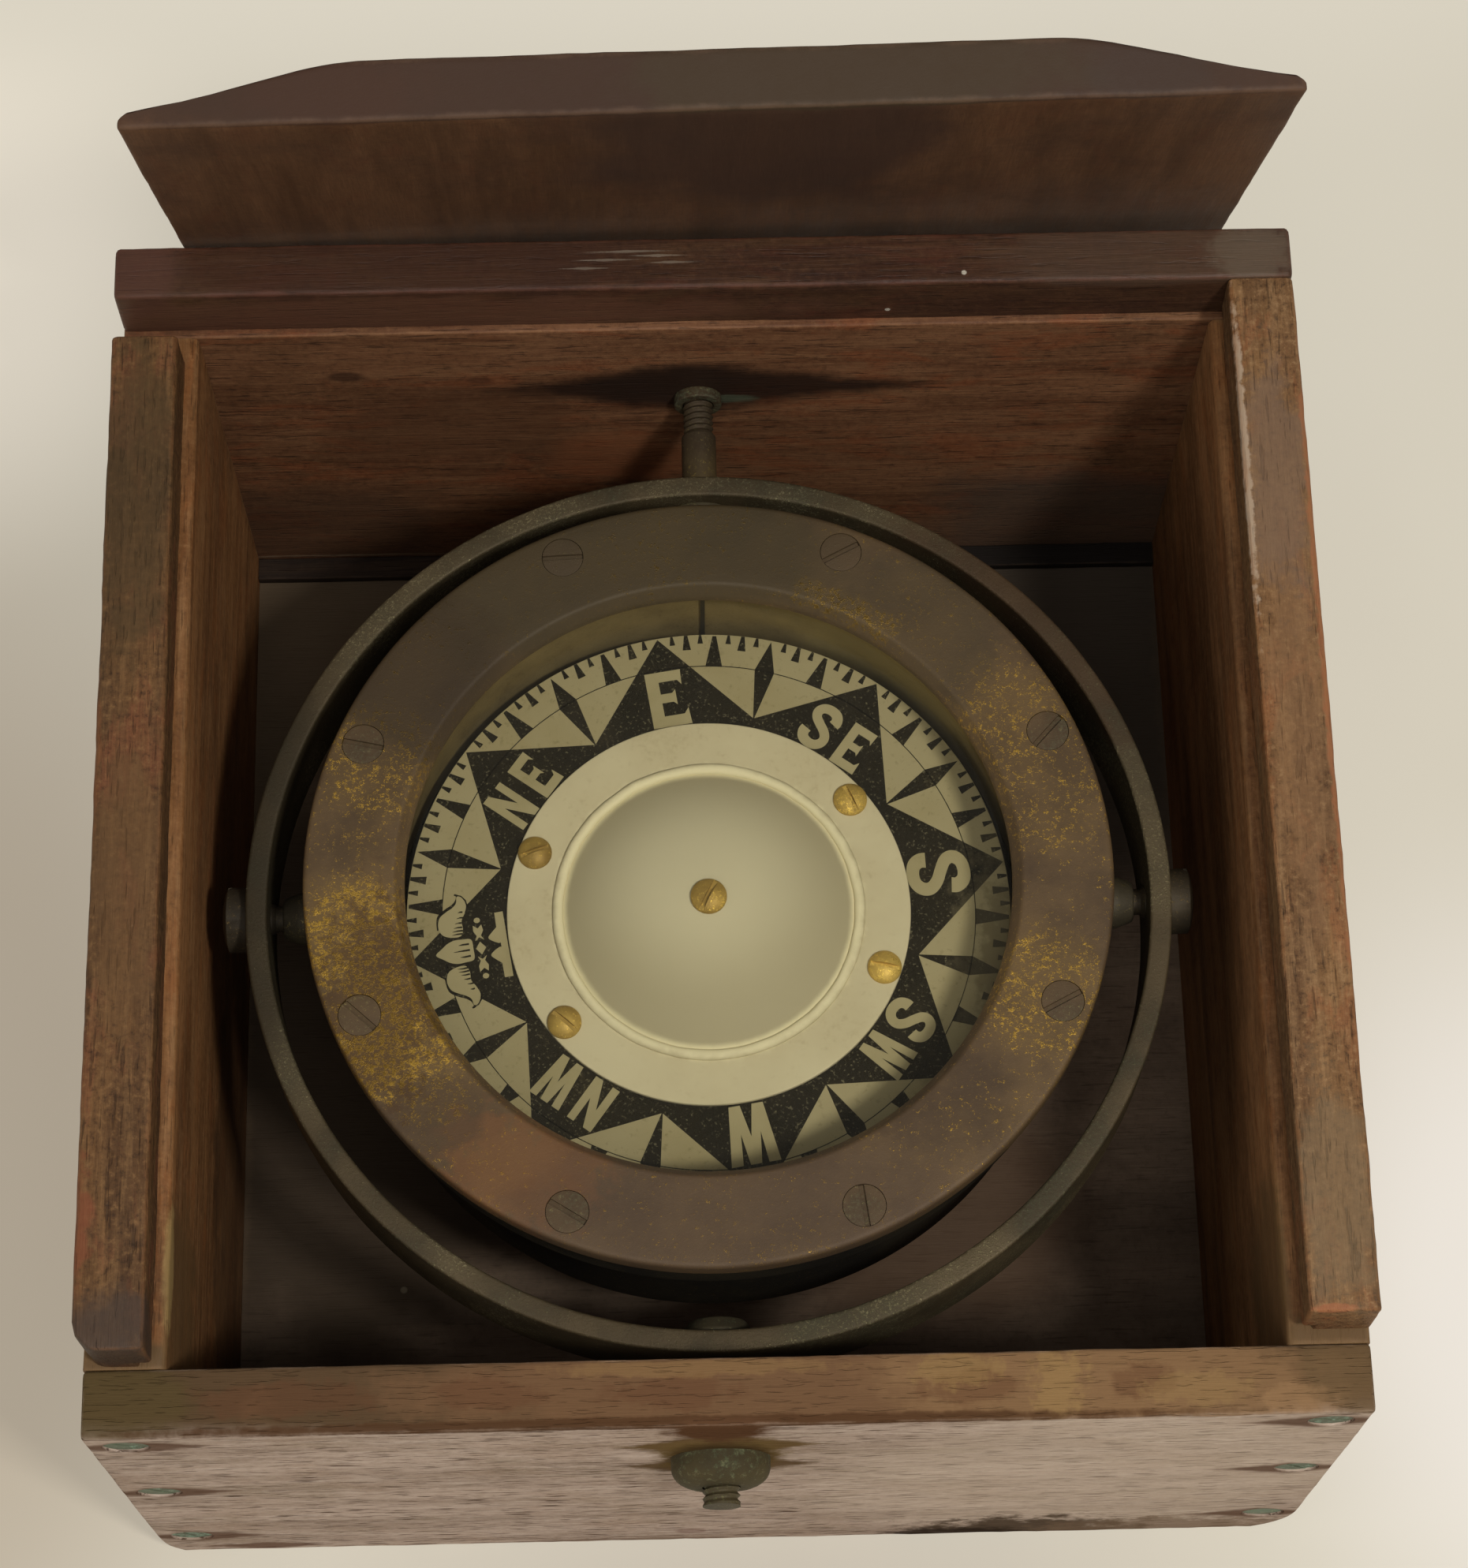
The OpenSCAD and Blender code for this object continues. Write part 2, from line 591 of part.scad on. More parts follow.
module jewel_cup() color("goldenrod") at_pivot() difference() {
    union() {
        translate([0, 0, cup_foot]) cylinder(h = cup_top - cup_foot, r = cup_r);
        translate([0, 0, cup_foot]) cylinder(h = 0.6, r = cup_flange_r);
    }
    translate([0, 0, cup_foot - over]) cylinder(h = over + 2, r = jewel_r + bore_gap);
    translate([0, 0, dome_top - 1.3 - bore_gap]) cylinder(h = 2, r = float_screw_shank + bore_gap);
}

module jewel() color("mediumvioletred") at_pivot() rotate_extrude() polygon([
    [0.9, jewel_foot], [jewel_r, jewel_foot], [jewel_r, cup_foot + 2], [0, cup_foot + 2],
    [0, jewel_tip]]);

// Places children on each needle's centre line, +X toward the card's north
module at_needles() at_pivot() rotate([0, 0, card_north]) for (side = [-1, 1])
    translate([0, side * needle_side, card_top - card_t]) children();

module needle_carriers() color("goldenrod") difference() {
    at_needles() difference() {
        translate([-needle_end - 4, -carrier_w / 2, -carrier_h])
            cube([2 * (needle_end + 4), carrier_w, carrier_h]);
        translate([3 - needle_end, -2.2, -carrier_h - over])
            cube([2 * (needle_end - 3), 4.4, carrier_h - 0.8 + over]);
    }
    at_float_screws() translate([0, 0, card_top - card_t - 3.4])
        cylinder(h = 6, r = float_screw_shank + bore_gap);
}

module needle_magnets() color("steelblue") at_needles()
    translate([3.05 - needle_end, -2.15, -carrier_h])
        cube([2 * (needle_end - 3.05), 4.3, carrier_h - 0.85]);

// Fielded lid in its own frame: length along +Z, inner face at y = 0, field toward +Y
module lid_shape() linear_extrude(lid_l) polygon([
    [-lid_w / 2, 0], [lid_w / 2, 0], [lid_w / 2, lid_edge],
    [lid_w / 2 - lid_bevel, lid_t], [lid_bevel - lid_w / 2, lid_t], [-lid_w / 2, lid_edge]]);

// The lid stands on its inner lower edge and leans on the rail's left rear corner
module lid_panel() color("sienna")
    translate([lid_x, rear_y + cleat_top * tan(lid_lean) + lid_contact_gap
               + box_w / 2 * sin(lid_turn), 0])
        rotate([0, 0, lid_turn]) rotate([lid_lean, 0, 0]) lid_shape();

front_wall();
rear_wall();
left_wall();
right_wall();
floor_board();
rear_batten();
left_cleat();
right_cleat();
rear_rail();
cleat_dowels();
wall_screws();
floor_pins();
front_pivot_screw();
front_pivot_nut();
rear_pivot_screw();
rear_pivot_nut();
rear_lock_nut();
gimbal_ring();
ring_bushes();
bowl_pivot_screws();
bowl_shell();
bowl_trunnions();
bezel_ring();
bezel_screws();
cover_glass();
glass_gasket();
card_well();
lubber_line();
pivot_post();
pivot_pin();
filler_plug();
diaphragm();
bottom_cover();
bottom_screws();
ballast_weight();
ballast_screws();
compass_card();
float_shell();
float_base();
float_screws();
cap_screw();
jewel_cup();
jewel();
needle_carriers();
needle_magnets();
lid_panel();
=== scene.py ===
"""Looks of a liquid boat compass in its hardwood box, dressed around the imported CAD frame.

Every size is in millimetres in the CAD frame, with +X right, +Y to the rear and +Z up.
Sizes that the part's source also holds carry the same names here.
"""

import json
import logging
import math
import random
from collections.abc import Callable, Sequence
from dataclasses import dataclass, field
from enum import Enum
from typing import Protocol

import bmesh
import bpy
from mathutils import Matrix, Vector, noise

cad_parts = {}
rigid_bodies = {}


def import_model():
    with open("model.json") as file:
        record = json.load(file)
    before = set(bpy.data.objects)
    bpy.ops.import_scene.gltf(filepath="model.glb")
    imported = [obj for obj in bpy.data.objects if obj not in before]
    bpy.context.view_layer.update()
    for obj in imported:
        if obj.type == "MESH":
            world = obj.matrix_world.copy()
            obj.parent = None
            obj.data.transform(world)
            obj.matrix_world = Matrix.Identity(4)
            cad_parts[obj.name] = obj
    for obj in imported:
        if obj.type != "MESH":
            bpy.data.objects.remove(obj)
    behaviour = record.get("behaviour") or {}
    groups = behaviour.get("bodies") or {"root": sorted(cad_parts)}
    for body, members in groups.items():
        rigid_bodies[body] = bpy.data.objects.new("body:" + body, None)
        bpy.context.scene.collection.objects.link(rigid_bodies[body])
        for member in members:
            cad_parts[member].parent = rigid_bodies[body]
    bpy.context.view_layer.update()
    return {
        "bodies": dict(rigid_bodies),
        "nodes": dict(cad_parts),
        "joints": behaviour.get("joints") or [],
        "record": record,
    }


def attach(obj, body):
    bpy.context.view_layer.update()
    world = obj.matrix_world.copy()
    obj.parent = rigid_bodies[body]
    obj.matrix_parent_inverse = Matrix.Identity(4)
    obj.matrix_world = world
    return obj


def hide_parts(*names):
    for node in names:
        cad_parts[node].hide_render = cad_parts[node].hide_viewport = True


LOG = logging.getLogger("box_compass")
# A millimetre in metres
MM = 0.001
# Fixes Blender's noise vectors, which otherwise differ from run to run
DENT_SEED = 7
Colour = tuple[float, float, float, float]
# A point in a drawing, and a point in space
Flat = tuple[float, float]
Place = tuple[float, float, float]


def tint(code: str) -> Colour:
    """Turns a colour as it looks on a screen into linear light.

    Args:
        code: six hexadecimal digits, red, green, blue.

    Returns:
        Linear red, green and blue, with an alpha of 1.
    """
    channels = [int(code[k : k + 2], 16) / 255 for k in (0, 2, 4)]
    linear = [c / 12.92 if c <= 0.04045 else ((c + 0.055) / 1.055) ** 2.4 for c in channels]
    return (linear[0], linear[1], linear[2], 1.0)


# Shader layer


class Socket:
    """An output of a shader node. Python's operators on it add the Math nodes they stand for."""

    def __init__(self, bench: "Bench", link: bpy.types.NodeSocket) -> None:
        """Wraps the output `link` of a node on `bench`."""
        self.bench = bench
        self.link = link

    def _math(self, operation: str, *terms: "Socket | float") -> "Socket":
        """Adds a Math node.

        Args:
            operation: Blender's name for the operation.
            terms: its inputs, in order.

        Returns:
            The node's output.
        """
        return self.bench.node("ShaderNodeMath", {"operation": operation}, dict(enumerate(terms)))

    def __add__(self, other: "Socket | float") -> "Socket":
        """Sum."""
        return self._math("ADD", self, other)

    def __radd__(self, other: float) -> "Socket":
        """Sum with a number first."""
        return self._math("ADD", other, self)

    def __sub__(self, other: "Socket | float") -> "Socket":
        """Difference."""
        return self._math("SUBTRACT", self, other)

    def __rsub__(self, other: float) -> "Socket":
        """Difference from a number."""
        return self._math("SUBTRACT", other, self)

    def __mul__(self, other: "Socket | float") -> "Socket":
        """Product."""
        return self._math("MULTIPLY", self, other)

    def __rmul__(self, other: float) -> "Socket":
        """Product with a number first."""
        return self._math("MULTIPLY", other, self)

    def least(self, other: "Socket | float") -> "Socket":
        """The smaller of the two."""
        return self._math("MINIMUM", self, other)

    def most(self, other: "Socket | float") -> "Socket":
        """The larger of the two."""
        return self._math("MAXIMUM", self, other)

    def rise(self, low: float, high: float, top: float = 1.0) -> "Socket":
        """Smooth step from 0 to `top`.

        Args:
            low: value at which the step starts.
            high: value at which it is complete; it may be below `low`, and the step then falls.
            top: value after the step.

        Returns:
            The stepped value, kept between 0 and `top`.
        """
        first, last = (top, 0.0) if high < low else (0.0, top)
        return self.bench.node("ShaderNodeMapRange", {"interpolation_type": "SMOOTHSTEP"}, {
            "Value": self, "From Min": min(low, high), "From Max": max(low, high),
            "To Min": first, "To Max": last})


class Bench:
    """A material under construction, with its node tree and a Principled shader."""

    def __init__(self, name: str) -> None:
        """Makes an empty material called `name`."""
        self.material = bpy.data.materials.new(name)
        self.material.use_nodes = True
        self.tree = self.material.node_tree
        self.tree.nodes.clear()
        self.out = self.tree.nodes.new("ShaderNodeOutputMaterial")

    def node(self, kind: str, settings: dict[str, object] | None = None,
             inputs: dict[int | str, object] | None = None, output: int | str = 0) -> Socket:
        """Adds a node.

        Args:
            kind: Blender's type name of the node.
            settings: the node's own properties, set first.
            inputs: values or links of its sockets, by index or name.
            output: which output to hand back.

        Returns:
            That output, wrapped.
        """
        made = self.tree.nodes.new(kind)
        for key, value in (settings or {}).items():
            setattr(made, key, value)
        for key, value in (inputs or {}).items():
            if isinstance(value, Socket):
                self.tree.links.new(value.link, made.inputs[key])
            else:
                made.inputs[key].default_value = value
        return Socket(self, made.outputs[output])

    def point(self) -> Socket:
        """Position on the piece in its own millimetres."""
        place = self.node("ShaderNodeTexCoord", output="Object")
        return self.vector("SCALE", place, scale=1 / MM)

    def vector(self, operation: str, first: Socket, second: Socket | Place | None = None,
               scale: float | None = None, output: int | str = 0) -> Socket:
        """Adds a Vector Math node.

        Args:
            operation: Blender's name for the operation.
            first: the first vector.
            second: the second vector, if the operation has one.
            scale: the factor of SCALE.
            output: 0 for a vector, "Value" for a length or a dot product.

        Returns:
            The result.
        """
        inputs: dict[int | str, object] = {0: first}
        if second is not None:
            inputs[1] = second
        if scale is not None:
            inputs["Scale"] = scale
        return self.node("ShaderNodeVectorMath", {"operation": operation}, inputs, output)

    def parts(self, vector: Socket) -> list[Socket]:
        """The three components of a vector."""
        split = self.tree.nodes.new("ShaderNodeSeparateXYZ")
        self.tree.links.new(vector.link, split.inputs[0])
        return [Socket(self, split.outputs[k]) for k in range(3)]

    def mix(self, share: Socket | float, first: Socket | str, second: Socket | str) -> Socket:
        """Mixes two colours.

        Args:
            share: how much of the second, 0 to 1.
            first: the colour at 0, or its code.
            second: the colour at 1, or its code.

        Returns:
            The mixed colour.
        """
        factor, first_colour, second_colour, result = 0, 6, 7, 2
        inputs: dict[int | str, object] = {factor: share}
        for key, colour in ((first_colour, first), (second_colour, second)):
            inputs[key] = tint(colour) if isinstance(colour, str) else colour
        return self.node("ShaderNodeMix", {"data_type": "RGBA"}, inputs, result)

    def blend(self, share: Socket, first: Socket, second: Socket) -> Socket:
        """Mixes two shaders; `share` is how much of the second."""
        return self.node("ShaderNodeMixShader", None, {0: share, 1: first, 2: second})

    def noise(self, at: Socket, scale: float | Place, detail: float = 3.0,
              rough: float = 0.55, twist: float = 0.0) -> Socket:
        """Adds cloudy noise.

        Args:
            at: the point, in millimetres.
            scale: lumps for each millimetre, one number or one for each axis.
            detail: octaves.
            rough: strength of the finer octaves.
            twist: distortion.

        Returns:
            A value around 0.5.
        """
        if isinstance(scale, tuple):
            at, scale = self.vector("MULTIPLY", at, scale), 1.0
        return self.node("ShaderNodeTexNoise", None, {
            "Vector": at, "Scale": scale, "Detail": detail, "Roughness": rough,
            "Distortion": twist})

    def bump(self, height: Socket, depth: float) -> Socket:
        """Turns a height from 0 to 1 into a normal; `depth` is its millimetres at 1."""
        return self.node("ShaderNodeBump", None, {"Distance": depth * MM, "Height": height})

    def principled(self, **inputs: object) -> Socket:
        """Adds a Principled shader; an underscore in a name stands for a space."""
        named = {key.replace("_", " "): value for key, value in inputs.items()}
        return self.node("ShaderNodeBsdfPrincipled", None, named)

    def finish(self, shader: Socket) -> bpy.types.Material:
        """Connects the shader to the output and hands back the material."""
        self.tree.links.new(shader.link, self.out.inputs["Surface"])
        return self.material


@dataclass(frozen=True)
class Stain:
    """A spot of another colour with ragged edges, an ellipsoid in the piece's millimetres.

    Its edge has `grain` lumps for each millimetre, and its full strength reaches up to the
    share `solid` of its half axes. A pointed one is a lozenge.
    """

    centre: Place
    reach: Place
    colour: str
    strength: float = 0.8
    ragged: float = 0.5
    grain: float = 0.12
    pointed: bool = False
    solid: float = 0.55

    def mask(self, bench: Bench, at: Socket) -> Socket:
        """Strength of the spot at a point.

        Args:
            bench: the material under construction.
            at: the point, in millimetres.

        Returns:
            0 outside the spot, rising to its strength inside.
        """
        away = bench.vector("SUBTRACT", at, self.centre)
        away = bench.vector("DIVIDE", away, self.reach)
        if self.pointed:
            away = bench.vector("ABSOLUTE", away)
            distance = bench.vector("DOT_PRODUCT", away, (1, 1, 1), output="Value")
        else:
            distance = bench.vector("LENGTH", away, output="Value")
        wobble = bench.noise(at, self.grain, 4.0, 0.65)
        return (distance + (wobble - 0.5) * self.ragged * 2).rise(1.0, self.solid, self.strength)


def stained(bench: Bench, at: Socket, colour: Socket, stains: Sequence[Stain]) -> Socket:
    """Lays spots over a colour.

    Args:
        bench: the material under construction.
        at: the point, in millimetres.
        colour: the colour under the spots.
        stains: the spots, the lowest first.

    Returns:
        The colour with its spots.
    """
    for stain in stains:
        colour = bench.mix(stain.mask(bench, at), colour, stain.colour)
    return colour


class Grain(Enum):
    """Axis along which a board's fibres run."""

    X = 0
    Y = 1
    Z = 2

    def stretched(self, along: float, across: float) -> Place:
        """Noise scales with `along` on the fibres' axis and `across` on the other two."""
        scales = [across] * 3
        scales[self.value] = along
        return (scales[0], scales[1], scales[2])


@dataclass(frozen=True)
class OldWood:
    """Oiled and weathered hardwood with dark pores, mottling and rubbed edges."""

    name: str
    deep: str
    body: str
    pale: str
    grain: Grain
    centre: Place
    half: Place
    rubbed: str = "8a5a36"
    rub_width: float = 1.6
    rub_strength: float = 0.7
    pore: str = "1d120c"
    pores: float = 0.6
    pore_from: float = 0.6
    streaky: float = 0.5
    dusty: float = 0.2
    mottle: str = "3a2a22"
    mottled: float = 0.5
    patch: str = "6d3a20"
    patched: float = 0.0
    roughness: float = 0.55
    relief: float = 0.18
    gloss: float = 0.15
    stains: tuple[Stain, ...] = ()

    def _edge(self, bench: Bench, at: Socket) -> Socket:
        """Distance to the board's nearest edge, in millimetres."""
        away = bench.vector("ABSOLUTE", bench.vector("SUBTRACT", at, self.centre))
        x, y, z = (h - c for h, c in zip(self.half, bench.parts(away)))
        return x.least(y).most(x.most(y).least(z))

    def material(self) -> bpy.types.Material:
        """Builds the wood's material.

        Returns:
            The finished material.
        """
        bench = Bench(self.name)
        at = bench.point()
        figure = bench.noise(at, self.grain.stretched(0.014, 0.11), 4.0, 0.6, 0.5)
        streak = bench.noise(at, self.grain.stretched(0.05, 0.7), 5.0, 0.65)
        fibre = bench.noise(at, self.grain.stretched(0.15, 3.4), 3.0, 0.6)
        vessel = bench.noise(at, self.grain.stretched(0.17, 1.9), 2.0, 0.5)
        cloud = bench.noise(at, 0.045, 6.0, 0.62)
        dust = bench.noise(at, 0.8, 4.0, 0.75)
        pore = vessel.rise(self.pore_from, self.pore_from + 0.09)
        colour = bench.mix(figure.rise(0.34, 0.66), self.deep, self.body)
        colour = bench.mix(streak.rise(0.42, 0.72, self.streaky), colour, self.pale)
        colour = bench.mix(cloud.rise(0.48, 0.66, self.mottled), colour, self.mottle)
        blotch = bench.noise(at, self.grain.stretched(0.05, 0.13), 5.0, 0.7, 0.6)
        colour = bench.mix(blotch.rise(0.50, 0.64, self.patched), colour, self.patch)
        colour = bench.mix(fibre.rise(0.62, 0.40, 0.35), colour, self.deep)
        colour = bench.mix(dust.rise(0.50, 0.72, self.dusty), colour, self.pale)
        colour = bench.mix(dust.rise(0.50, 0.30, self.dusty), colour, self.pore)
        colour = bench.mix(pore * self.pores, colour, self.pore)
        colour = stained(bench, at, colour, self.stains)
        worn = bench.noise(at, 0.11, 5.0, 0.7)
        edge = self._edge(bench, at) + (worn - 0.5) * 3.2 * self.rub_width
        rub = edge.rise(self.rub_width, 0.0, self.rub_strength)
        colour = bench.mix(rub, colour, self.rubbed)
        rough = (self.roughness + (cloud - 0.5) * 0.35 + (streak - 0.5) * 0.25) - rub * 0.08
        height = streak * 0.5 + fibre * 0.45 - pore * 0.55 * self.pores
        return bench.finish(bench.principled(
            Base_Color=colour, Roughness=rough, Specular_IOR_Level=self.gloss,
            Normal=bench.bump(height, self.relief)))


@dataclass(frozen=True)
class AgedBrass:
    """Brass under a patina that is worn through in flecks, with verdigris where it is damp."""

    name: str
    metal: str = "8f7433"
    patina: str = "4b3f2c"
    dark: str = "2a241b"
    bare: float = 0.35
    fleck: float = 1.1
    polish: float = 0.38
    green: str = "5f7a63"
    damp: float = 0.0
    dull: float = 0.62
    shine: float = 0.85
    film: float = 0.35
    relief: float = 0.08
    haze: float = 0.15
    gloss: float = 0.25
    bright: tuple[Stain, ...] = ()
    stains: tuple[Stain, ...] = ()

    def material(self) -> bpy.types.Material:
        """Builds the metal's material.

        Returns:
            The finished material.
        """
        bench = Bench(self.name)
        at = bench.point()
        cloud = bench.noise(at, 0.06, 6.0, 0.62)
        grit = bench.noise(at, self.fleck, 4.0, 0.75)
        fine = bench.noise(at, self.fleck * 4.5, 2.0, 0.6)
        colour = bench.mix(cloud.rise(0.36, 0.66), self.patina, self.dark)
        open_share = bench.noise(at, 0.035, 4.0, 0.6).rise(0.46, 0.62, self.bare)
        for spot in self.bright:
            open_share = open_share.most(spot.mask(bench, at))
        colour = bench.mix(open_share * self.haze, colour, self.metal)
        flecks = (grit + open_share * 0.18 + (fine - 0.5) * 0.42).rise(0.60, 0.76)
        colour = bench.mix(flecks, colour, self.metal)
        damp = (cloud * 0.5 + grit * 0.5).rise(0.50, 0.62, self.damp)
        colour = bench.mix(damp, colour, self.green)
        colour = stained(bench, at, colour, self.stains)
        metallic = (self.film + flecks * (self.shine - self.film)) * (1 - damp * 0.8)
        rough = self.dull - flecks * (self.dull - self.polish) + (cloud - 0.5) * 0.2 + damp * 0.2
        height = grit * 0.6 + fine * 0.25 + flecks * 0.3
        return bench.finish(bench.principled(
            Base_Color=colour, Metallic=metallic, Roughness=rough,
            Specular_IOR_Level=self.gloss, Normal=bench.bump(height, self.relief)))


@dataclass(frozen=True)
class Painted:
    """A painted, printed or plain surface with faint mottling and a little dirt."""

    name: str
    colour: str
    second: str
    dirt: str = "5a5138"
    dirty: float = 0.25
    size: float = 0.08
    roughness: float = 0.5
    metallic: float = 0.0
    speck: str = "000000"
    specks: float = 0.0
    relief: float = 0.02
    coat: float = 0.0
    gloss: float = 0.5
    stains: tuple[Stain, ...] = ()

    def material(self) -> bpy.types.Material:
        """Builds the surface's material.

        Returns:
            The finished material.
        """
        bench = Bench(self.name)
        at = bench.point()
        cloud = bench.noise(at, self.size, 5.0, 0.6)
        grit = bench.noise(at, self.size * 18, 4.0, 0.7)
        colour = bench.mix(cloud.rise(0.35, 0.68), self.colour, self.second)
        colour = bench.mix((cloud * 0.6 + grit * 0.4).rise(0.55, 0.68, self.dirty), colour,
                           self.dirt)
        colour = bench.mix(grit.rise(0.57, 0.67, self.specks), colour, self.speck)
        colour = stained(bench, at, colour, self.stains)
        rough = self.roughness + (cloud - 0.5) * 0.2 + (grit - 0.5) * 0.15
        height = grit * 0.6 + cloud * 0.4
        return bench.finish(bench.principled(
            Base_Color=colour, Roughness=rough, Metallic=self.metallic, Coat_Weight=self.coat,
            Specular_IOR_Level=self.gloss, Normal=bench.bump(height, self.relief)))


@dataclass(frozen=True)
class ClearGlass:
    """Thin clear glass: it lets light straight through and reflects a little, more at a slant."""

    name: str = "cover_glass_clear"
    tone: str = "fdfdfa"
    film: str = "f2e8d0"
    film_roughness: float = 0.09
    index: float = 1.4
    slanted: float = 0.6
    haze: float = 0.008

    def material(self) -> bpy.types.Material:
        """Builds the glass's material.

        Returns:
            The finished material.
        """
        bench = Bench(self.name)
        smear = bench.noise(bench.point(), 0.07, 5.0, 0.6)
        through = bench.node("ShaderNodeBsdfTransparent", None, {"Color": tint(self.tone)})
        film = bench.node("ShaderNodeBsdfGlossy", None, {
            "Color": tint(self.film), "Roughness": self.film_roughness})
        slant = bench.node("ShaderNodeFresnel", None, {"IOR": self.index})
        share = slant * self.slanted + smear.rise(0.45, 0.75, self.haze)
        return bench.finish(bench.blend(share, through, film))


class Finish(Protocol):
    """A finish of any kind."""

    def material(self) -> bpy.types.Material:
        """Builds its material."""


# Mesh layer


def rounded(corners: Sequence[tuple[float, ...]], radius: float, steps: int = 4) -> list[Flat]:
    """Rounds the corners of a closed outline.

    Args:
        corners: points in order; a third number is that corner's own radius.
        radius: the radius of the other corners.
        steps: segments in each rounding.

    Returns:
        The rounded outline.
    """
    made: list[Flat] = []
    count = len(corners)
    for k, corner in enumerate(corners):
        here = Vector(corner[:2])
        before, after = Vector(corners[k - 1][:2]), Vector(corners[(k + 1) % count][:2])
        reach = corner[2] if len(corner) > 2 else radius
        into, out = before - here, after - here
        reach = min(reach, into.length * 0.45, out.length * 0.45)
        if reach < 1e-4:
            made.append((here.x, here.y))
            continue
        start, end = here + into.normalized() * reach, here + out.normalized() * reach
        for step in range(steps + 1):
            t = step / steps
            spot = start * (1 - t) ** 2 + here * (2 * t * (1 - t)) + end * t**2
            made.append((spot.x, spot.y))
    return made


def divided(outline: Sequence[Flat], longest: float) -> list[Flat]:
    """Adds points so that no side of a closed outline is longer than `longest`."""
    made: list[Flat] = []
    for k, (x, y) in enumerate(outline):
        nx, ny = outline[(k + 1) % len(outline)]
        parts = max(1, math.ceil(math.hypot(nx - x, ny - y) / longest))
        made += [(x + (nx - x) * i / parts, y + (ny - y) * i / parts) for i in range(parts)]
    return made


def arc(centre: Flat, reach: Flat, start: float, end: float, steps: int) -> list[Flat]:
    """Points along an arc of an ellipse.

    Args:
        centre: the ellipse's middle.
        reach: its half axes; a negative one mirrors it.
        start: angle of the first point, in degrees.
        end: angle of the last point.
        steps: segments between them.

    Returns:
        The points, with both ends.
    """
    angles = [math.radians(start + (end - start) * k / steps) for k in range(steps + 1)]
    return [(centre[0] + reach[0] * math.cos(a), centre[1] + reach[1] * math.sin(a))
            for a in angles]


def smoothed(points: Sequence[Flat], steps: int = 5, closed: bool = False) -> list[Flat]:
    """Runs a smooth curve through points.

    Args:
        points: the points in order.
        steps: segments between two of them.
        closed: whether the curve comes back to its first point.

    Returns:
        The curve's points.
    """
    made: list[Flat] = []
    count = len(points)
    for k in range(count if closed else count - 1):
        near = [k - 1, k, k + 1, k + 2]
        near = [i % count if closed else min(max(i, 0), count - 1) for i in near]
        p0, p1, p2, p3 = (Vector(points[i]) for i in near)
        for step in range(steps):
            t = step / steps
            spot = 0.5 * (2 * p1 + (p2 - p0) * t + (2 * p0 - 5 * p1 + 4 * p2 - p3) * t**2
                          + (3 * p1 - p0 - 3 * p2 + p3) * t**3)
            made.append((spot.x, spot.y))
    return made if closed else made + [tuple(points[-1])]


def ribbon(line: Sequence[Flat], widths: Sequence[float]) -> list[Flat]:
    """Outline of a stroke.

    Args:
        line: the stroke's centre line.
        widths: its width at each point.

    Returns:
        The outline, up one side and back down the other.
    """
    left, right = [], []
    for k, (x, y) in enumerate(line):
        ahead, behind = Vector(line[min(k + 1, len(line) - 1)]), Vector(line[max(k - 1, 0)])
        side = (ahead - behind).normalized().orthogonal() * widths[k] / 2
        left.append((x + side.x, y + side.y))
        right.append((x - side.x, y - side.y))
    return left + right[::-1]


def linked(name: str, data: bpy.types.ID) -> bpy.types.Object:
    """Makes an object of its data and links it into the scene."""
    made = bpy.data.objects.new(name, data)
    bpy.context.scene.collection.objects.link(made)
    return made


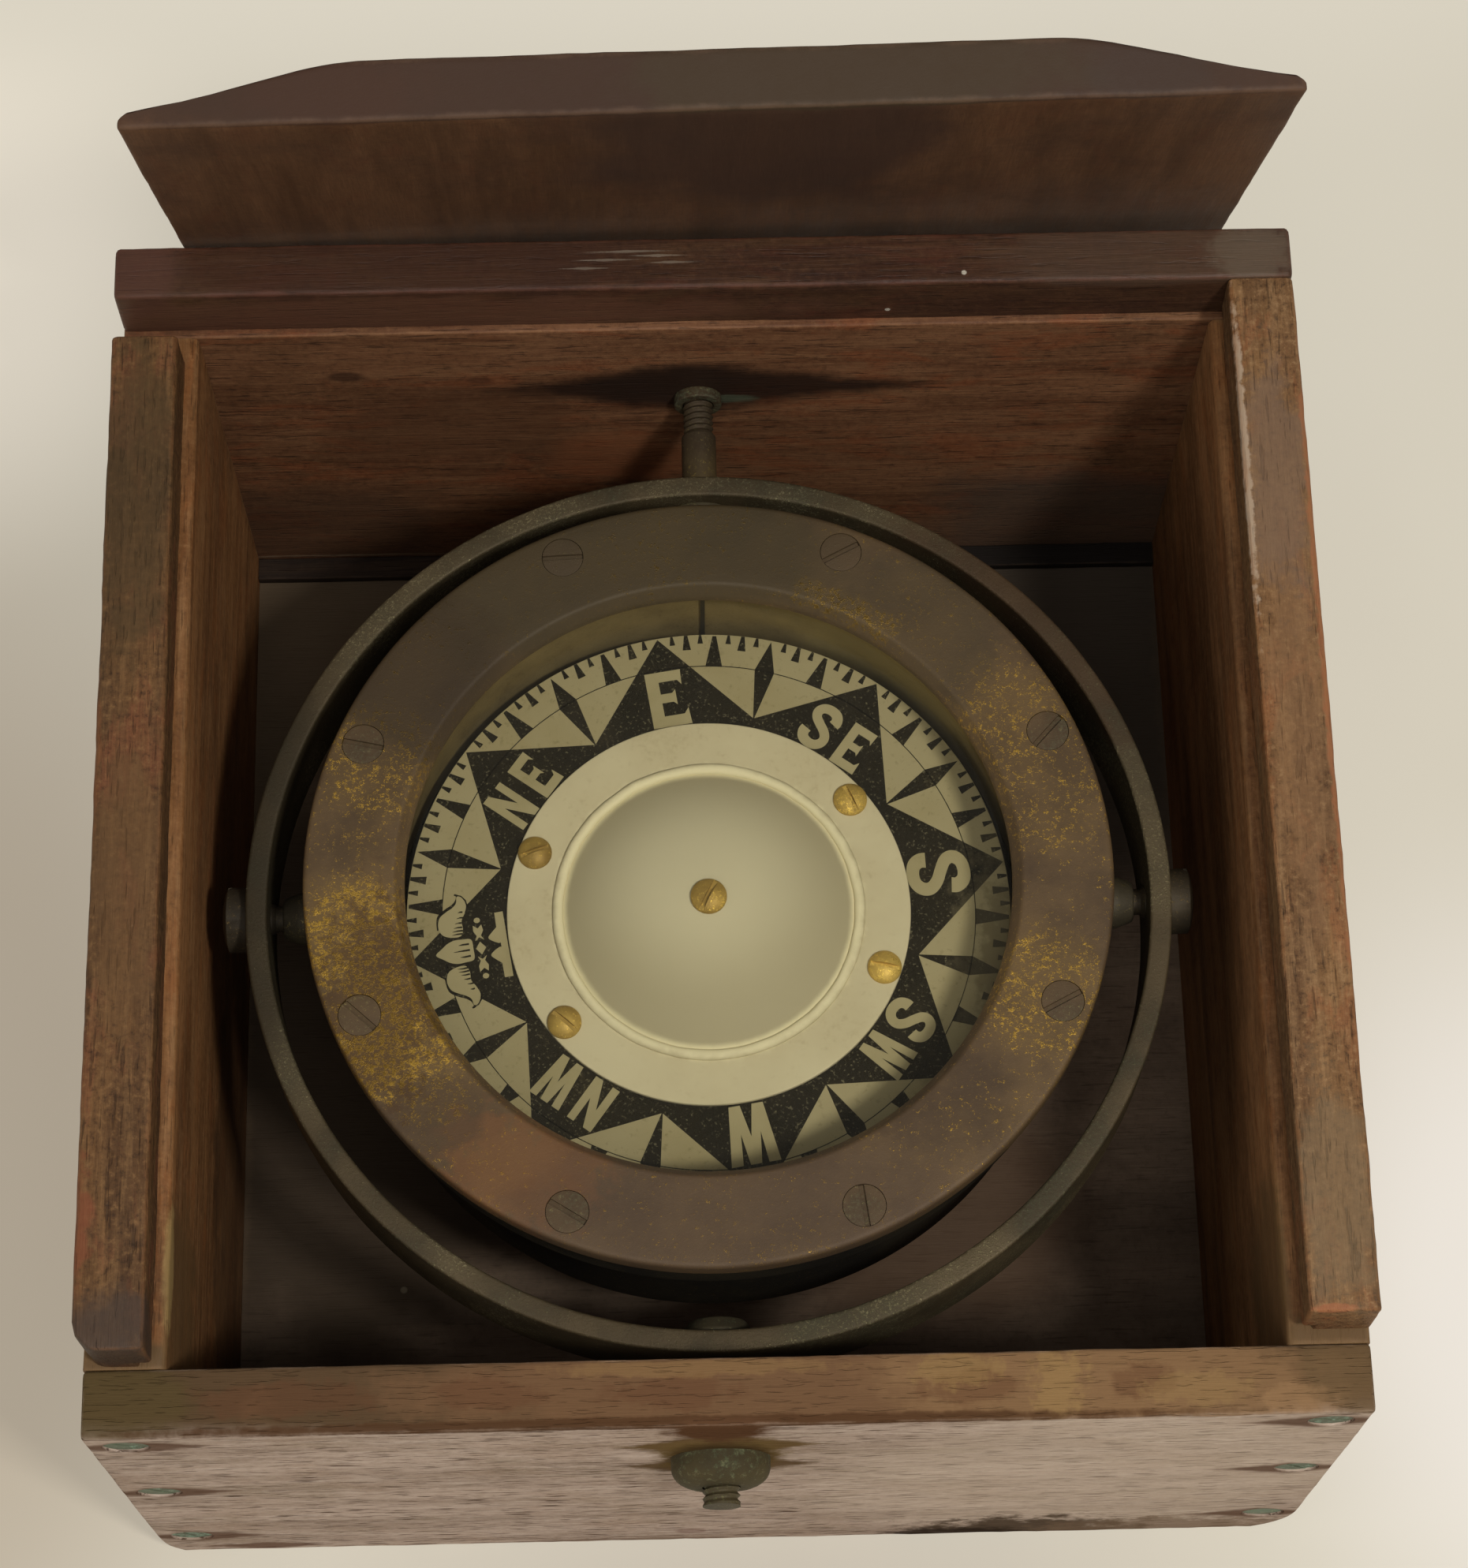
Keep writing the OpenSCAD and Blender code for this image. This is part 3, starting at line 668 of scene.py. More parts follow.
@dataclass
class Form:
    """A mesh in millimetres."""

    points: list[Vector] = field(default_factory=list)
    faces: list[tuple[int, ...]] = field(default_factory=list)

    def __add__(self, other: "Form") -> "Form":
        """Both meshes in one, not welded."""
        shift = len(self.points)
        return Form(self.points + other.points,
                    self.faces + [tuple(i + shift for i in face) for face in other.faces])

    def moved(self, matrix: Matrix) -> "Form":
        """The mesh placed by a matrix."""
        return Form([matrix @ p for p in self.points], list(self.faces))

    def warped(self, shift: Callable[[Vector], Vector]) -> "Form":
        """The mesh with each point moved by what `shift` gives for it."""
        return Form([p + shift(p) for p in self.points], list(self.faces))

    def _bridge(self, first: int, second: int, count: int) -> None:
        """Adds the faces between two closed rings of points."""
        for k in range(count):
            n = (k + 1) % count
            self.faces.append((first + k, first + n, second + n, second + k))

    @classmethod
    def spun(cls, profile: Sequence[Flat], steps: int = 96) -> "Form":
        """Turns a closed profile about Z.

        Args:
            profile: points (radius, height) in order.
            steps: segments round the axis.

        Returns:
            The turned mesh.
        """
        form = cls()
        for k in range(steps):
            angle = 2 * math.pi * k / steps
            x, y = math.cos(angle), math.sin(angle)
            form.points += [Vector((r * x, r * y, z)) for r, z in profile]
        count = len(profile)
        for k in range(steps):
            form._bridge(k * count, (k + 1) % steps * count, count)
        return form

    @classmethod
    def rod(cls, radius: float, low: float, high: float, steps: int = 24) -> "Form":
        """A plain round rod along Z, from height `low` to `high`."""
        return cls.spun([(0, low), (radius, low), (radius, high), (0, high)], steps)

    @classmethod
    def bar(cls, section: Sequence[Flat], length: float, edge: float = 0.5, step: float = 3.0,
            dents: Callable[[Vector], Vector] | None = None) -> "Form":
        """Draws a section out along Z into a board with rounded ends.

        Args:
            section: closed outline, points counterclockwise.
            length: length of the board.
            edge: radius of the rounded ends' edges.
            step: distance between the rings along the board.
            dents: what moves a point of its surface; the end faces stay flat.

        Returns:
            The board, from z = 0 to z = length.
        """
        low = Vector((min(x for x, _ in section), min(y for _, y in section)))
        high = Vector((max(x for x, _ in section), max(y for _, y in section)))
        middle, half = (low + high) / 2, (high - low) / 2
        ends = [(edge + 0.5, 0.0), *arc((edge, edge), (-edge, -edge), 90, 0, 3)]
        rows = max(2, round((length - 2 * edge) / step))
        rings = ends + [(0.0, edge + (length - 2 * edge) * k / rows) for k in range(1, rows)]
        rings += [(inset, length - z) for inset, z in reversed(ends)]
        form, count = cls(), len(section)
        for inset, z in rings:
            flat_end = z < edge * 1.01 or z > length - edge * 1.01
            for x, y in section:
                point = Vector((middle.x + (x - middle.x) * (1 - inset / half.x),
                                middle.y + (y - middle.y) * (1 - inset / half.y), z))
                if dents is not None:
                    shift = dents(point)
                    point += Vector((shift.x, shift.y, 0 if flat_end else shift.z))
                form.points.append(point)
        for k in range(len(rings) - 1):
            form._bridge(k * count, (k + 1) * count, count)
        last = (len(rings) - 1) * count
        form.faces += [tuple(range(count))[::-1], tuple(range(last, last + count))]
        return form

    @classmethod
    def plate(cls, outline: Sequence[Flat], low: float, high: float) -> "Form":
        """A thin flat shape from height `low` to `high`."""
        count = len(outline)
        form = cls([Vector((x, y, z)) for z in (low, high) for x, y in outline])
        form._bridge(0, count, count)
        form.faces += [tuple(range(count))[::-1], tuple(range(count, 2 * count))]
        return form

    @classmethod
    def slotted_head(cls, radius: float, rim: float, crown: float, slot: Flat,
                     turn: float = 0.0) -> "Form":
        """A screw head with a slot, its underside at z = 0.

        Args:
            radius: radius of the head.
            rim: height of its upright rim.
            crown: rise of its domed top above the rim.
            slot: width and depth of the slot, the depth from the crown's top.
            turn: direction of the slot, in degrees from X.

        Returns:
            The head.
        """
        width, depth = slot
        side = [math.sin(math.pi / 2 * k / 9) for k in range(10)]
        start = width / 2 / radius
        run = [start + (1 - start) * s for s in side]
        columns = [(-u, True) for u in reversed(run)] + [(-start, False), (start, False)]
        columns += [(u, True) for u in run]
        form, rows = cls(), 13
        floor = rim + crown - depth
        for u, raised in columns:
            across = min(abs(u), 0.9999)
            half = math.sqrt(1 - across * across)
            for k in range(rows):
                v = -half * math.cos(math.pi * k / (rows - 1))
                level = rim + crown * (1 - (u * u + v * v)) ** 0.8 if u * u + v * v < 1 else rim
                height = level if raised else min(floor, level)
                form.points.append(Vector((v * radius, u * radius, height)))
        for c in range(len(columns) - 1):
            for k in range(rows - 1):
                a = c * rows + k
                form.faces.append((a, a + 1, a + rows + 1, a + rows))
        skirt = [c * rows for c in range(len(columns))]
        skirt += [c * rows + rows - 1 for c in reversed(range(len(columns)))]
        foot = len(form.points)
        form.points += [Vector((form.points[i].x, form.points[i].y, 0)) for i in skirt]
        count = len(skirt)
        for k in range(count):
            n = (k + 1) % count
            form.faces.append((skirt[n], skirt[k], foot + k, foot + n))
        form.faces.append(tuple(range(foot, foot + count))[::-1])
        return form.moved(Matrix.Rotation(math.radians(turn), 4, "Z"))

    @classmethod
    def threaded(cls, radius: float, depth: float, pitch: float, length: float,
                 turns: int = 48) -> "Form":
        """A screw thread along Z.

        Args:
            radius: radius over the crests.
            depth: depth of the thread.
            pitch: distance from crest to crest.
            length: length of the thread.
            turns: segments round the axis.

        Returns:
            The thread, from z = 0 to z = length.
        """
        rows = math.ceil(length / pitch * 8)
        form = cls()
        for row in range(rows + 1):
            z = length * row / rows
            for k in range(turns):
                phase = (z / pitch - k / turns) % 1.0
                fade = min(1.0, z / pitch, (length - z) / pitch)
                r = radius - depth * (0.5 + 0.5 * math.cos(2 * math.pi * phase)) ** 0.7 * fade
                angle = 2 * math.pi * k / turns
                form.points.append(Vector((r * math.cos(angle), r * math.sin(angle), z)))
        for row in range(rows):
            form._bridge(row * turns, (row + 1) * turns, turns)
        form.faces += [tuple(range(turns))[::-1],
                       tuple(range(rows * turns, (rows + 1) * turns))]
        return form

    def _object(self) -> bpy.types.Object:
        """A bare object with the mesh in metres, welded and with its faces turned outward."""
        mesh = bpy.data.meshes.new("form")
        mesh.from_pydata([p * MM for p in self.points], [], self.faces)
        work = bmesh.new()
        work.from_mesh(mesh)
        bmesh.ops.remove_doubles(work, verts=work.verts, dist=2e-7)
        bmesh.ops.dissolve_degenerate(work, dist=1e-8, edges=work.edges)
        bmesh.ops.recalc_face_normals(work, faces=work.faces)
        work.to_mesh(mesh)
        work.free()
        return linked("form", mesh)

    def mesh(self, cutters: Sequence["Form"] = ()) -> bpy.types.Mesh:
        """Makes the Blender mesh.

        Args:
            cutters: shapes to cut away.

        Returns:
            The mesh, in metres.
        """
        base = self._object()
        tools = [cutter._object() for cutter in cutters]
        for tool in tools:
            cut = base.modifiers.new("cut", "BOOLEAN")
            cut.operation, cut.solver, cut.object = "DIFFERENCE", "EXACT", tool
        mesh = base.data
        if tools:
            seen = base.evaluated_get(bpy.context.evaluated_depsgraph_get())
            mesh = bpy.data.meshes.new_from_object(seen)
        for spent in [base, *tools]:
            bpy.data.objects.remove(spent)
        return mesh


def place(origin: Place, x_axis: Place, y_axis: Place) -> Matrix:
    """A matrix from a form's own axes to the CAD frame.

    Args:
        origin: where the form's origin goes.
        x_axis: where its X points.
        y_axis: where its Y points.

    Returns:
        The matrix, its Z square to both.
    """
    x, y = Vector(x_axis).normalized(), Vector(y_axis).normalized()
    z = x.cross(y)
    matrix = Matrix((x, y, z)).transposed().to_4x4()
    matrix.translation = Vector(origin)
    return matrix


def along_y(origin: Place, rear: bool = True) -> Matrix:
    """Lays a form's Z along +Y, or along -Y if not `rear`."""
    return place(origin, (1, 0, 0), (0, 0, -1 if rear else 1))


def along_x(origin: Place, right: bool = True) -> Matrix:
    """Lays a form's Z along +X, or along -X if not `right`."""
    return place(origin, (0, 1, 0), (0, 0, 1 if right else -1))


def show(name: str, mesh: bpy.types.Mesh, body: str, finish: Finish,
         replaces: Sequence[str] = (), sharp: float = 38.0,
         matrix: Matrix | None = None) -> bpy.types.Object:
    """Puts a finished piece into the scene.

    Args:
        name: the piece's name.
        mesh: its mesh, in metres.
        body: the CAD body it rides on.
        finish: its finish.
        replaces: CAD nodes it stands for.
        sharp: angle in degrees above which an edge stays sharp.
        matrix: where it stands, in metres, if not at the origin.

    Returns:
        The piece.
    """
    piece = linked(name, mesh)
    mesh.name = name
    mesh.polygons.foreach_set("use_smooth", [True] * len(mesh.polygons))
    mesh.set_sharp_from_angle(angle=math.radians(sharp))
    mesh.materials.clear()
    mesh.materials.append(finish.material())
    if matrix is not None:
        piece.matrix_world = matrix
    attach(piece, body)
    if replaces:
        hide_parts(*replaces)
    LOG.info("%s rides on %s: %d faces", name, body, len(mesh.polygons))
    return piece


def dress(frame: dict, node: str, finish: Finish) -> None:
    """Gives a CAD node that stays its finish.

    Args:
        node: the node's name.
        finish: its finish.
    """
    piece = frame["nodes"][node]
    piece.data.materials.clear()
    piece.data.materials.append(finish.material())
    LOG.info("%s keeps its CAD shape", node)


def knocks(depth: float, seed: int, size: float = 9.0) -> Callable[[Vector], Vector]:
    """Small dents and waves for a worn piece.

    Args:
        depth: the deepest dent, in millimetres.
        seed: which dents.
        size: distance from dent to dent.

    Returns:
        A shift for Form.warped.
    """
    offset = Vector((seed * 37.1, seed * 17.3, seed * 5.9))

    def shift(point: Vector) -> Vector:
        """Moves one point."""
        slow = noise.noise_vector((point + offset) / size)
        quick = noise.noise_vector((point + offset) / (size * 0.25))
        return (slow * 0.6 + quick * 0.4) * depth

    return shift


# Sub-assemblies


@dataclass(frozen=True)
class Hub:
    """The gimbal centre, which the ring, the bowl and the card share."""

    x: float = -1.2
    y: float = -6.8
    z: float = 67.0

    def at(self, x: float = 0.0, y: float = 0.0, z: float = 0.0) -> Place:
        """A point given from the gimbal centre."""
        return (self.x + x, self.y + y, self.z + z)

    def around(self, radius: float, turn: float, z: float) -> Place:
        """A point at `radius` from the upright axis, `turn` degrees from +X towards +Y."""
        angle = math.radians(turn)
        return self.at(radius * math.cos(angle), radius * math.sin(angle), z)

    def matrix(self, x: float = 0.0, y: float = 0.0, z: float = 0.0,
               turn: float = 0.0) -> Matrix:
        """A move to that point, turned by `turn` degrees about the centre's upright axis."""
        spin = Matrix.Rotation(math.radians(turn), 4, "Z")
        return Matrix.Translation(self.at()) @ spin @ Matrix.Translation((x, y, z))


HUB = Hub()


@dataclass
class WoodenBox:
    """The box: four walls, floor, batten, cleats, rail, dowels and screws."""

    box_w: float = 180.0
    box_d: float = 181.0
    wall_top: float = 90.0
    end_t: float = 9.7
    side_t: float = 11.6
    floor_t: float = 6.0
    cleat_h: float = 11.3
    cleat_w: float = 10.0
    rail_d: float = 8.6
    groove_d: float = 2.0
    groove_h: float = 2.6
    left_setback: float = 0.3
    right_setback: float = 2.0
    left_gap: float = 6.5
    worn_left: Flat = (3.5, 12.0)
    worn_right: Flat = (7.5, 14.0)
    nose: float = 4.0
    batten_w: float = 4.0
    batten_h: float = 2.0
    wood_screw_head: float = 3.2
    wood_screw_shank: float = 1.5
    wood_screw_len: float = 28.0
    wood_screw_x: float = 84.5
    wood_screw_z: tuple[float, ...] = (13.0, 50.0, 84.0)
    body: str = "box"

    @property
    def front(self) -> float:
        """Y of the front face."""
        return -self.box_d / 2

    @property
    def rear(self) -> float:
        """Y of the rear face."""
        return self.box_d / 2

    @property
    def front_in(self) -> float:
        """Y of the front wall's inner face."""
        return self.front + self.end_t

    @property
    def rear_in(self) -> float:
        """Y of the rear wall's inner face."""
        return -self.front_in

    @property
    def side_in(self) -> float:
        """X of the right wall's inner face."""
        return self.box_w / 2 - self.side_t

    def _screw_places(self, y: float) -> list[Place]:
        """Where the wood screws stand in the end wall whose face is at `y`."""
        return [(x, y, z) for x in (-self.wood_screw_x, self.wood_screw_x)
                for z in self.wood_screw_z]

    def _countersinks(self, y: float, rear: bool) -> list[Form]:
        """Screw holes of an end wall, a little wider than the screws."""
        mouth, bore = self.wood_screw_head + 0.25, self.wood_screw_shank + 0.2
        cone = Form.spun([(0, -1), (mouth, -1), (mouth, 0.35), (bore, 2.6), (bore, 5), (0, 5)],
                         40)
        return [cone.moved(along_y(spot, rear)) for spot in self._screw_places(y)]

    def _worn_foot(self, point: Vector) -> Vector:
        """Draws in the front wall's lower corners, which are worn round."""
        reach, rise = self.worn_left if point.x < 0 else self.worn_right
        drop = max(0.0, 1 - point.z / rise)
        loss = reach * (1 - math.sqrt(max(0.0, 1 - drop * drop)))
        return Vector((-point.x / (self.box_w / 2) * loss, 0, 0))

    def _across(self, section: Sequence[Flat], length: float, edge: float, step: float,
                dents: Callable[[Vector], Vector]) -> Form:
        """A board along X, in the middle of the box, from its section in Y and Z."""
        lay = place((-length / 2, 0, 0), (0, 1, 0), (0, 0, 1))
        return Form.bar(divided(section, step), length, edge, step, dents).moved(lay)

    def walls(self) -> None:
        """Builds the four walls, the front and rear ones over the side walls' ends."""
        top, half, middle = self.wall_top, self.box_w / 2, self.wall_top / 2
        section = rounded([(self.front, 0), (self.front_in, 0), (self.front_in, top),
                           (self.front, top)], 0.7)
        front = self._across(section, self.box_w, 0.6, 2.0, knocks(0.16, 3))
        finish = OldWood(
            "front_wall_bleached", "948172", "b39f90", "cbbaac", Grain.X,
            (0, self.front + self.end_t / 2, middle), (half, self.end_t / 2, middle),
            rubbed="b09a86", rub_width=0.4, rub_strength=0.2, pore="4d3b30", pores=0.9,
            pore_from=0.57, mottle="9d8673", mottled=0.45, patch="877661", patched=0.4,
            roughness=0.75, relief=0.25, gloss=0.0, stains=self._front_stains())
        front = front.warped(self._worn_foot)
        show("front_board", front.mesh(self._countersinks(self.front, True)), self.body,
             finish, ["front_wall"])
        section = rounded([(self.rear_in, 0), (self.rear, 0), (self.rear, top),
                           (self.rear_in, top)], 0.5)
        rear = self._across(section, self.box_w, 0.5, 3.0, knocks(0.12, 5))
        finish = OldWood(
            "rear_wall_wood", "543522", "714d34", "805c3e", Grain.X,
            (0, self.rear - self.end_t / 2, middle), (half, self.end_t / 2, middle),
            rubbed="86603f", rub_width=0.4, rub_strength=0.3, pores=0.5, dusty=0.35,
            mottle="523621", mottled=0.6, patch="743f24", patched=0.55, roughness=0.6,
            stains=self._rear_stains())
        show("rear_board", rear.mesh(self._countersinks(self.rear, False)), self.body,
             finish, ["rear_wall"])
        for side, name in ((-1, "left"), (1, "right")):
            inner, outer = side * self.side_in, side * half
            low, high = min(inner, outer), max(inner, outer)
            section = rounded([(low, 0), (high, 0), (high, top, 0.6 if side > 0 else 1.5),
                               (low, top, 1.5 if side > 0 else 0.6)], 0.6)
            board = Form.bar(divided(section, 3.0), self.rear_in - self.front_in, 0.1, 3.0,
                             knocks(0.1, 8 + side))
            board = board.moved(along_y((0, self.rear_in, 0), rear=False))
            # Painted light: the right wall gets a lighter body colour than the left, standing in
            # for the light on its inner face.
            finish = OldWood(
                f"{name}_wall_wood", "603e22", "8a5f38" if side < 0 else "9b6c43", "a07850",
                Grain.Y, ((inner + outer) / 2, 0, middle), (self.side_t / 2, self.rear_in, middle),
                rubbed="7d6040", rub_width=0.8, rub_strength=0.35, pores=0.4, dusty=0.3,
                mottle="614228", mottled=0.5, patch="84502a", patched=0.5, roughness=0.6,
                stains=self._side_stains(side))
            show(f"{name}_board", board.mesh(), self.body, finish,
                 [f"{name}_wall"])

    def _side_stains(self, side: int) -> tuple[Stain, ...]:
        """Worn and dirty patches on the top and the inner face of a side wall, and a darker lower
        front part of the left wall's inner face.
        """
        x = side * self.side_in
        return (Stain((x, -72, 78), (1.5, 22, 24), "5b4429", 0.7, 0.6),
                Stain((x, -40, 20), (2, 60, 30), "2a1c12", 0.6 if side < 0 else 0.0, 0.5),
                Stain((side * 84, -80, self.wall_top), (13, 4, 1.2), "574229", 0.95, 0.2),
                Stain((x, -66, 88), (1.6, 13, 3), "9a8050", 0.6 if side < 0 else 0.1, 0.6, 0.3))

    def _front_stains(self) -> tuple[Stain, ...]:
        """Marks on the front wall: its browner top edge, rust round the nut, damp at the foot."""
        y, top = self.front, self.wall_top
        made = [Stain((56, y, 50), (52, 1.5, 60), "bfad9a", 0.4, 0.4, 0.05),
                Stain((0, y + 6.6, top), (190, 10, 1.1), "4f3d2b", 1.0, 0.03, 0.2),
                Stain((10, y + 5, top), (75, 9, 1.1), "6a4e37", 0.75, 0.7, 0.07),
                Stain((56, y + 5, top), (44, 9, 1.1), "785c40", 0.8, 0.8, 0.08),
                *(Stain((x, y + 5, top), (reach, 3, 1.1), "573a28", 0.5, 0.9, 0.2)
                  for x, reach in ((-62, 16), (-34, 9), (-8, 10), (34, 8), (58, 6))),
                Stain((46, y + 5, top), (5, 6, 1.1), "8f7347", 0.4, 1.0, 0.45),
                Stain((32, y + 7, top), (7, 3, 1.1), "8b7045", 0.35, 1.0, 0.45),
                Stain((-3, y + 8.3, top), (24, 1.6, 1.1), "816541", 0.4, 0.9, 0.25),
                Stain((66, y + 4, top), (10, 3, 1.1), "8b7047", 0.3, 1.0, 0.45),
                Stain((80, y + 2, top), (8, 3, 1.1), "90704f", 0.35, 1.0, 0.45),
                Stain((88, y + 6, top), (9, 9, 1.1), "5e4a33", 0.8, 0.9, 0.12),
                Stain((-84, y + 5, top), (12, 8, 1.1), "4d4027", 0.7, 0.6),
                Stain((-10, y + 0.5, top), (95, 1.3, 1.5), "47301f", 0.85, 0.5, 0.2),
                Stain((-1.3, y, 76), (17, 1.5, 10), "5f4a2c", 0.95, 0.15, 0.4, True, 0.7),
                Stain((-1.3, y, 62), (17, 1.5, 10), "5a4630", 0.95, 0.15, 0.4, True, 0.7),
                Stain((-1.3, y, 69), (11, 1.5, 15), "665232", 1.0, 0.4, 0.3, False, 0.6),
                Stain((-1.3, y, 69), (9, 1.5, 12), "3d2e1d", 0.8, 0.2, 0.3),
                Stain((-1.3, y, 88), (10, 1.5, 12), "523927", 1.0, 0.4, 0.3, False, 0.5),
                Stain((47, y, 0), (23, 1.5, 17), "4c3e31", 0.95, 0.8, 0.2),
                Stain((36, y, 0), (13, 1.5, 8), "2e241d", 0.9, 0.5, 0.3),
                Stain((70, y, 2), (24, 1.5, 11), "715d4b", 0.7, 0.8, 0.2),
                Stain((-74, y, 3.5), (13, 1.5, 4), "634a3b", 0.85, 0.3, 0.3, True),
                Stain((-15, y, 1.5), (22, 1.5, 1.6), "6a5546", 0.6, 0.4, 0.3),
                Stain((-6, y, 8), (3.2, 1.5, 3), "6f5247", 0.5, 0.4, 0.3)]
        made += [Stain((x * 0.985, y, z), (14, 1.5, 5.2), "5f483a", 0.9, 0.15, 0.3, True)
                 for x, y, z in self._screw_places(self.front)]
        return tuple(made)

    def _rear_stains(self) -> tuple[Stain, ...]:
        """Marks on the rear wall's inner face, and painted shade in its lower right corner."""
        y = self.rear_in
        return (Stain((0, y, 70), (44, 1.5, 11), "21150f", 0.92, 0.25, 0.12, True),
                Stain((-6, y, 72), (17, 1.5, 7), "241811", 0.8, 0.4),
                Stain((4, y, 66), (6, 1.5, 2), "4b5240", 0.6, 0.5),
                Stain((-57, y, 76), (4, 1.5, 2.2), "2c1a12", 0.7, 0.4),
                Stain((-36, y, 74), (3, 1.5, 1.5), "2f1c14", 0.5, 0.4),
                Stain((-40, y, 56), (26, 1.5, 18), "4a301f", 0.5, 0.7, 0.05),
                Stain((-14, y, 47), (16, 1.5, 12), "74452a", 0.5, 0.7, 0.06),
                Stain((-66, y, 18), (30, 1.5, 26), "38281d", 0.65, 0.5, 0.03),
                # Painted shade: the lower right corner, in the right wall's shadow, is darker and
                # greyer.
                Stain((66, y, 14), (40, 1.5, 30), "463a30", 0.7, 0.5, 0.03),
                Stain((-62, y, 8.7), (30, 1.5, 0.45), "6f5d49", 0.6, 0.9, 0.6))

    def floor(self) -> None:
        """Builds the floor board and the batten at its rear."""
        section = [(self.front_in, 0), (self.rear_in, 0), (self.rear_in, self.floor_t),
                   (self.front_in, self.floor_t)]
        board = self._across(section, 2 * self.side_in, 0.1, 6.0, knocks(0.0, 1))
        # Painted light and shade: the floor's colours are raised so its shaded parts come out
        # lighter, the shaded strip behind the front wall is lighter again, and the lit patches at
        # the left front, right front and left rear and the shaded right rear corner are darker. The
        # two small specks are dust.
        stains = (Stain((-62, -12, 6), (46, 66, 9), "2e2419", 0.9, 0.35, 0.03),
                  Stain((34, -38, 6), (34, 26, 9), "483627", 0.8, 0.35, 0.04),
                  Stain((0, -82, 6), (110, 22, 9), "917c66", 0.8, 0.4, 0.04),
                  Stain((-56, 70, 6), (90, 50, 9), "4d4030", 0.9, 0.4, 0.03),
                  Stain((64, 66, 6), (56, 60, 9), "3a3229", 0.95, 0.3, 0.03),
                  Stain((-28, -38, 6), (1.6, 0.8, 1), "7a6f5c", 0.7, 0.5, 0.4),
                  Stain((-52, -50, 6), (0.7, 0.7, 1), "6a604e", 0.7, 0.3))
        finish = OldWood("floor_wood_dust_and_painted_light", "5e4f41", "725f4e", "7a6856", Grain.X,
                         (0, 0, self.floor_t / 2), (self.side_in, self.rear_in, self.floor_t / 2),
                         rubbed="5d4b38", rub_strength=0.2, pores=0.3, mottle="4a3b2f",
                         mottled=0.6, roughness=0.8, stains=stains)
        show("floor_planed", board.mesh(), self.body, finish,
             ["floor_board"])
        foot, wide, high = self.floor_t, self.batten_w, self.batten_h
        section = rounded([(self.rear_in - wide, foot), (self.rear_in, foot),
                           (self.rear_in, foot + high), (self.rear_in - wide, foot + high)], 0.4)
        batten = self._across(section, 2 * self.side_in, 0.2, 2.0, knocks(0.12, 4))
        finish = OldWood("batten_wood", "1d1510", "2c2017", "3b2c1f", Grain.X,
                         (0, self.rear_in - wide / 2, foot + high / 2),
                         (self.side_in, wide / 2, high / 2),
                         rubbed="46372a", rub_width=0.3, rub_strength=0.3, roughness=0.8,
                         # Painted shadow: the dark patch on the right part of the batten.
                         stains=(Stain((62, self.rear_in, 8), (50, 9, 9), "15100c", 0.95, 0.3),))
        show("foot_batten", batten.mesh(), self.body, finish,
             ["rear_batten"])

    def _worn_nose(self, point: Vector) -> Vector:
        """Rounds the left cleat's outer front corner."""
        start, rim = self.front_in + self.left_setback, self.box_w / 2 - self.nose
        past, near = -point.x - rim, max(0.0, self.nose - (point.y - start))
        if past <= 0 or near <= 0:
            return Vector()
        kept = math.sqrt(max(0.0, self.nose**2 - min(near, self.nose) ** 2)) / self.nose
        return Vector((past * (1 - kept), 0, 0))

    def cleats(self) -> None:
        """Builds the two cleats, each undercut at its foot for the lid's edge, and the rail."""
        rail_front, base = self.rear - self.rail_d, self.wall_top
        top = base + self.cleat_h
        outer, inner = self.box_w / 2, self.box_w / 2 - self.cleat_w
        middle, groove = (outer + inner) / 2, inner + self.groove_d
        for side, name, setback, gap, rubbed, tones in (
                (-1, "left", self.left_setback, self.left_gap, "6f4a2d",
                 ("422d1b", "664729", "7c5c3a", "4c3722", "70402a")),
                (1, "right", self.right_setback, 0.0, "8a5c38",
                 ("573d26", "7d5b38", "92724f", "67492f", "86502f"))):
            start, end = self.front_in + setback, rail_front - gap
            section = rounded([(groove, base, 0.2), (outer, base, 0.3), (outer, top, 1.1),
                               (inner, top, 1.0), (inner, base + self.groove_h, 0.3),
                               (groove, base + self.groove_h, 0.2)], 0.5, 5)
            form = Form.bar(divided(section, 1.8), end - start, 0.5, 1.8, knocks(0.22, 11 + side))
            form = form.moved(along_y((0, end, 0), rear=False))
            if side < 0:
                form = form.moved(Matrix.Scale(-1, 4, (1, 0, 0))).warped(self._worn_nose)
            finish = OldWood(
                f"{name}_cleat_wood", *tones[:3], Grain.Y,
                (side * middle, (start + end) / 2, base + self.cleat_h / 2),
                (self.cleat_w / 2, (end - start) / 2, self.cleat_h / 2), rubbed=rubbed,
                rub_width=0.7, rub_strength=0.4, pores=0.45, dusty=0.6, mottle=tones[3],
                mottled=0.6, patch=tones[4], patched=0.5, roughness=0.6, relief=0.4,
                stains=self._cleat_stains(side, top))
            show(f"{name}_guide", form.mesh(), self.body, finish,
                 [f"{name}_cleat"])
        section = rounded([(rail_front, base), (self.rear, base), (self.rear, top),
                           (rail_front, top, 0.9)], 0.6)
        rail = self._across(section, self.box_w, 0.8, 2.0, knocks(0.15, 21))
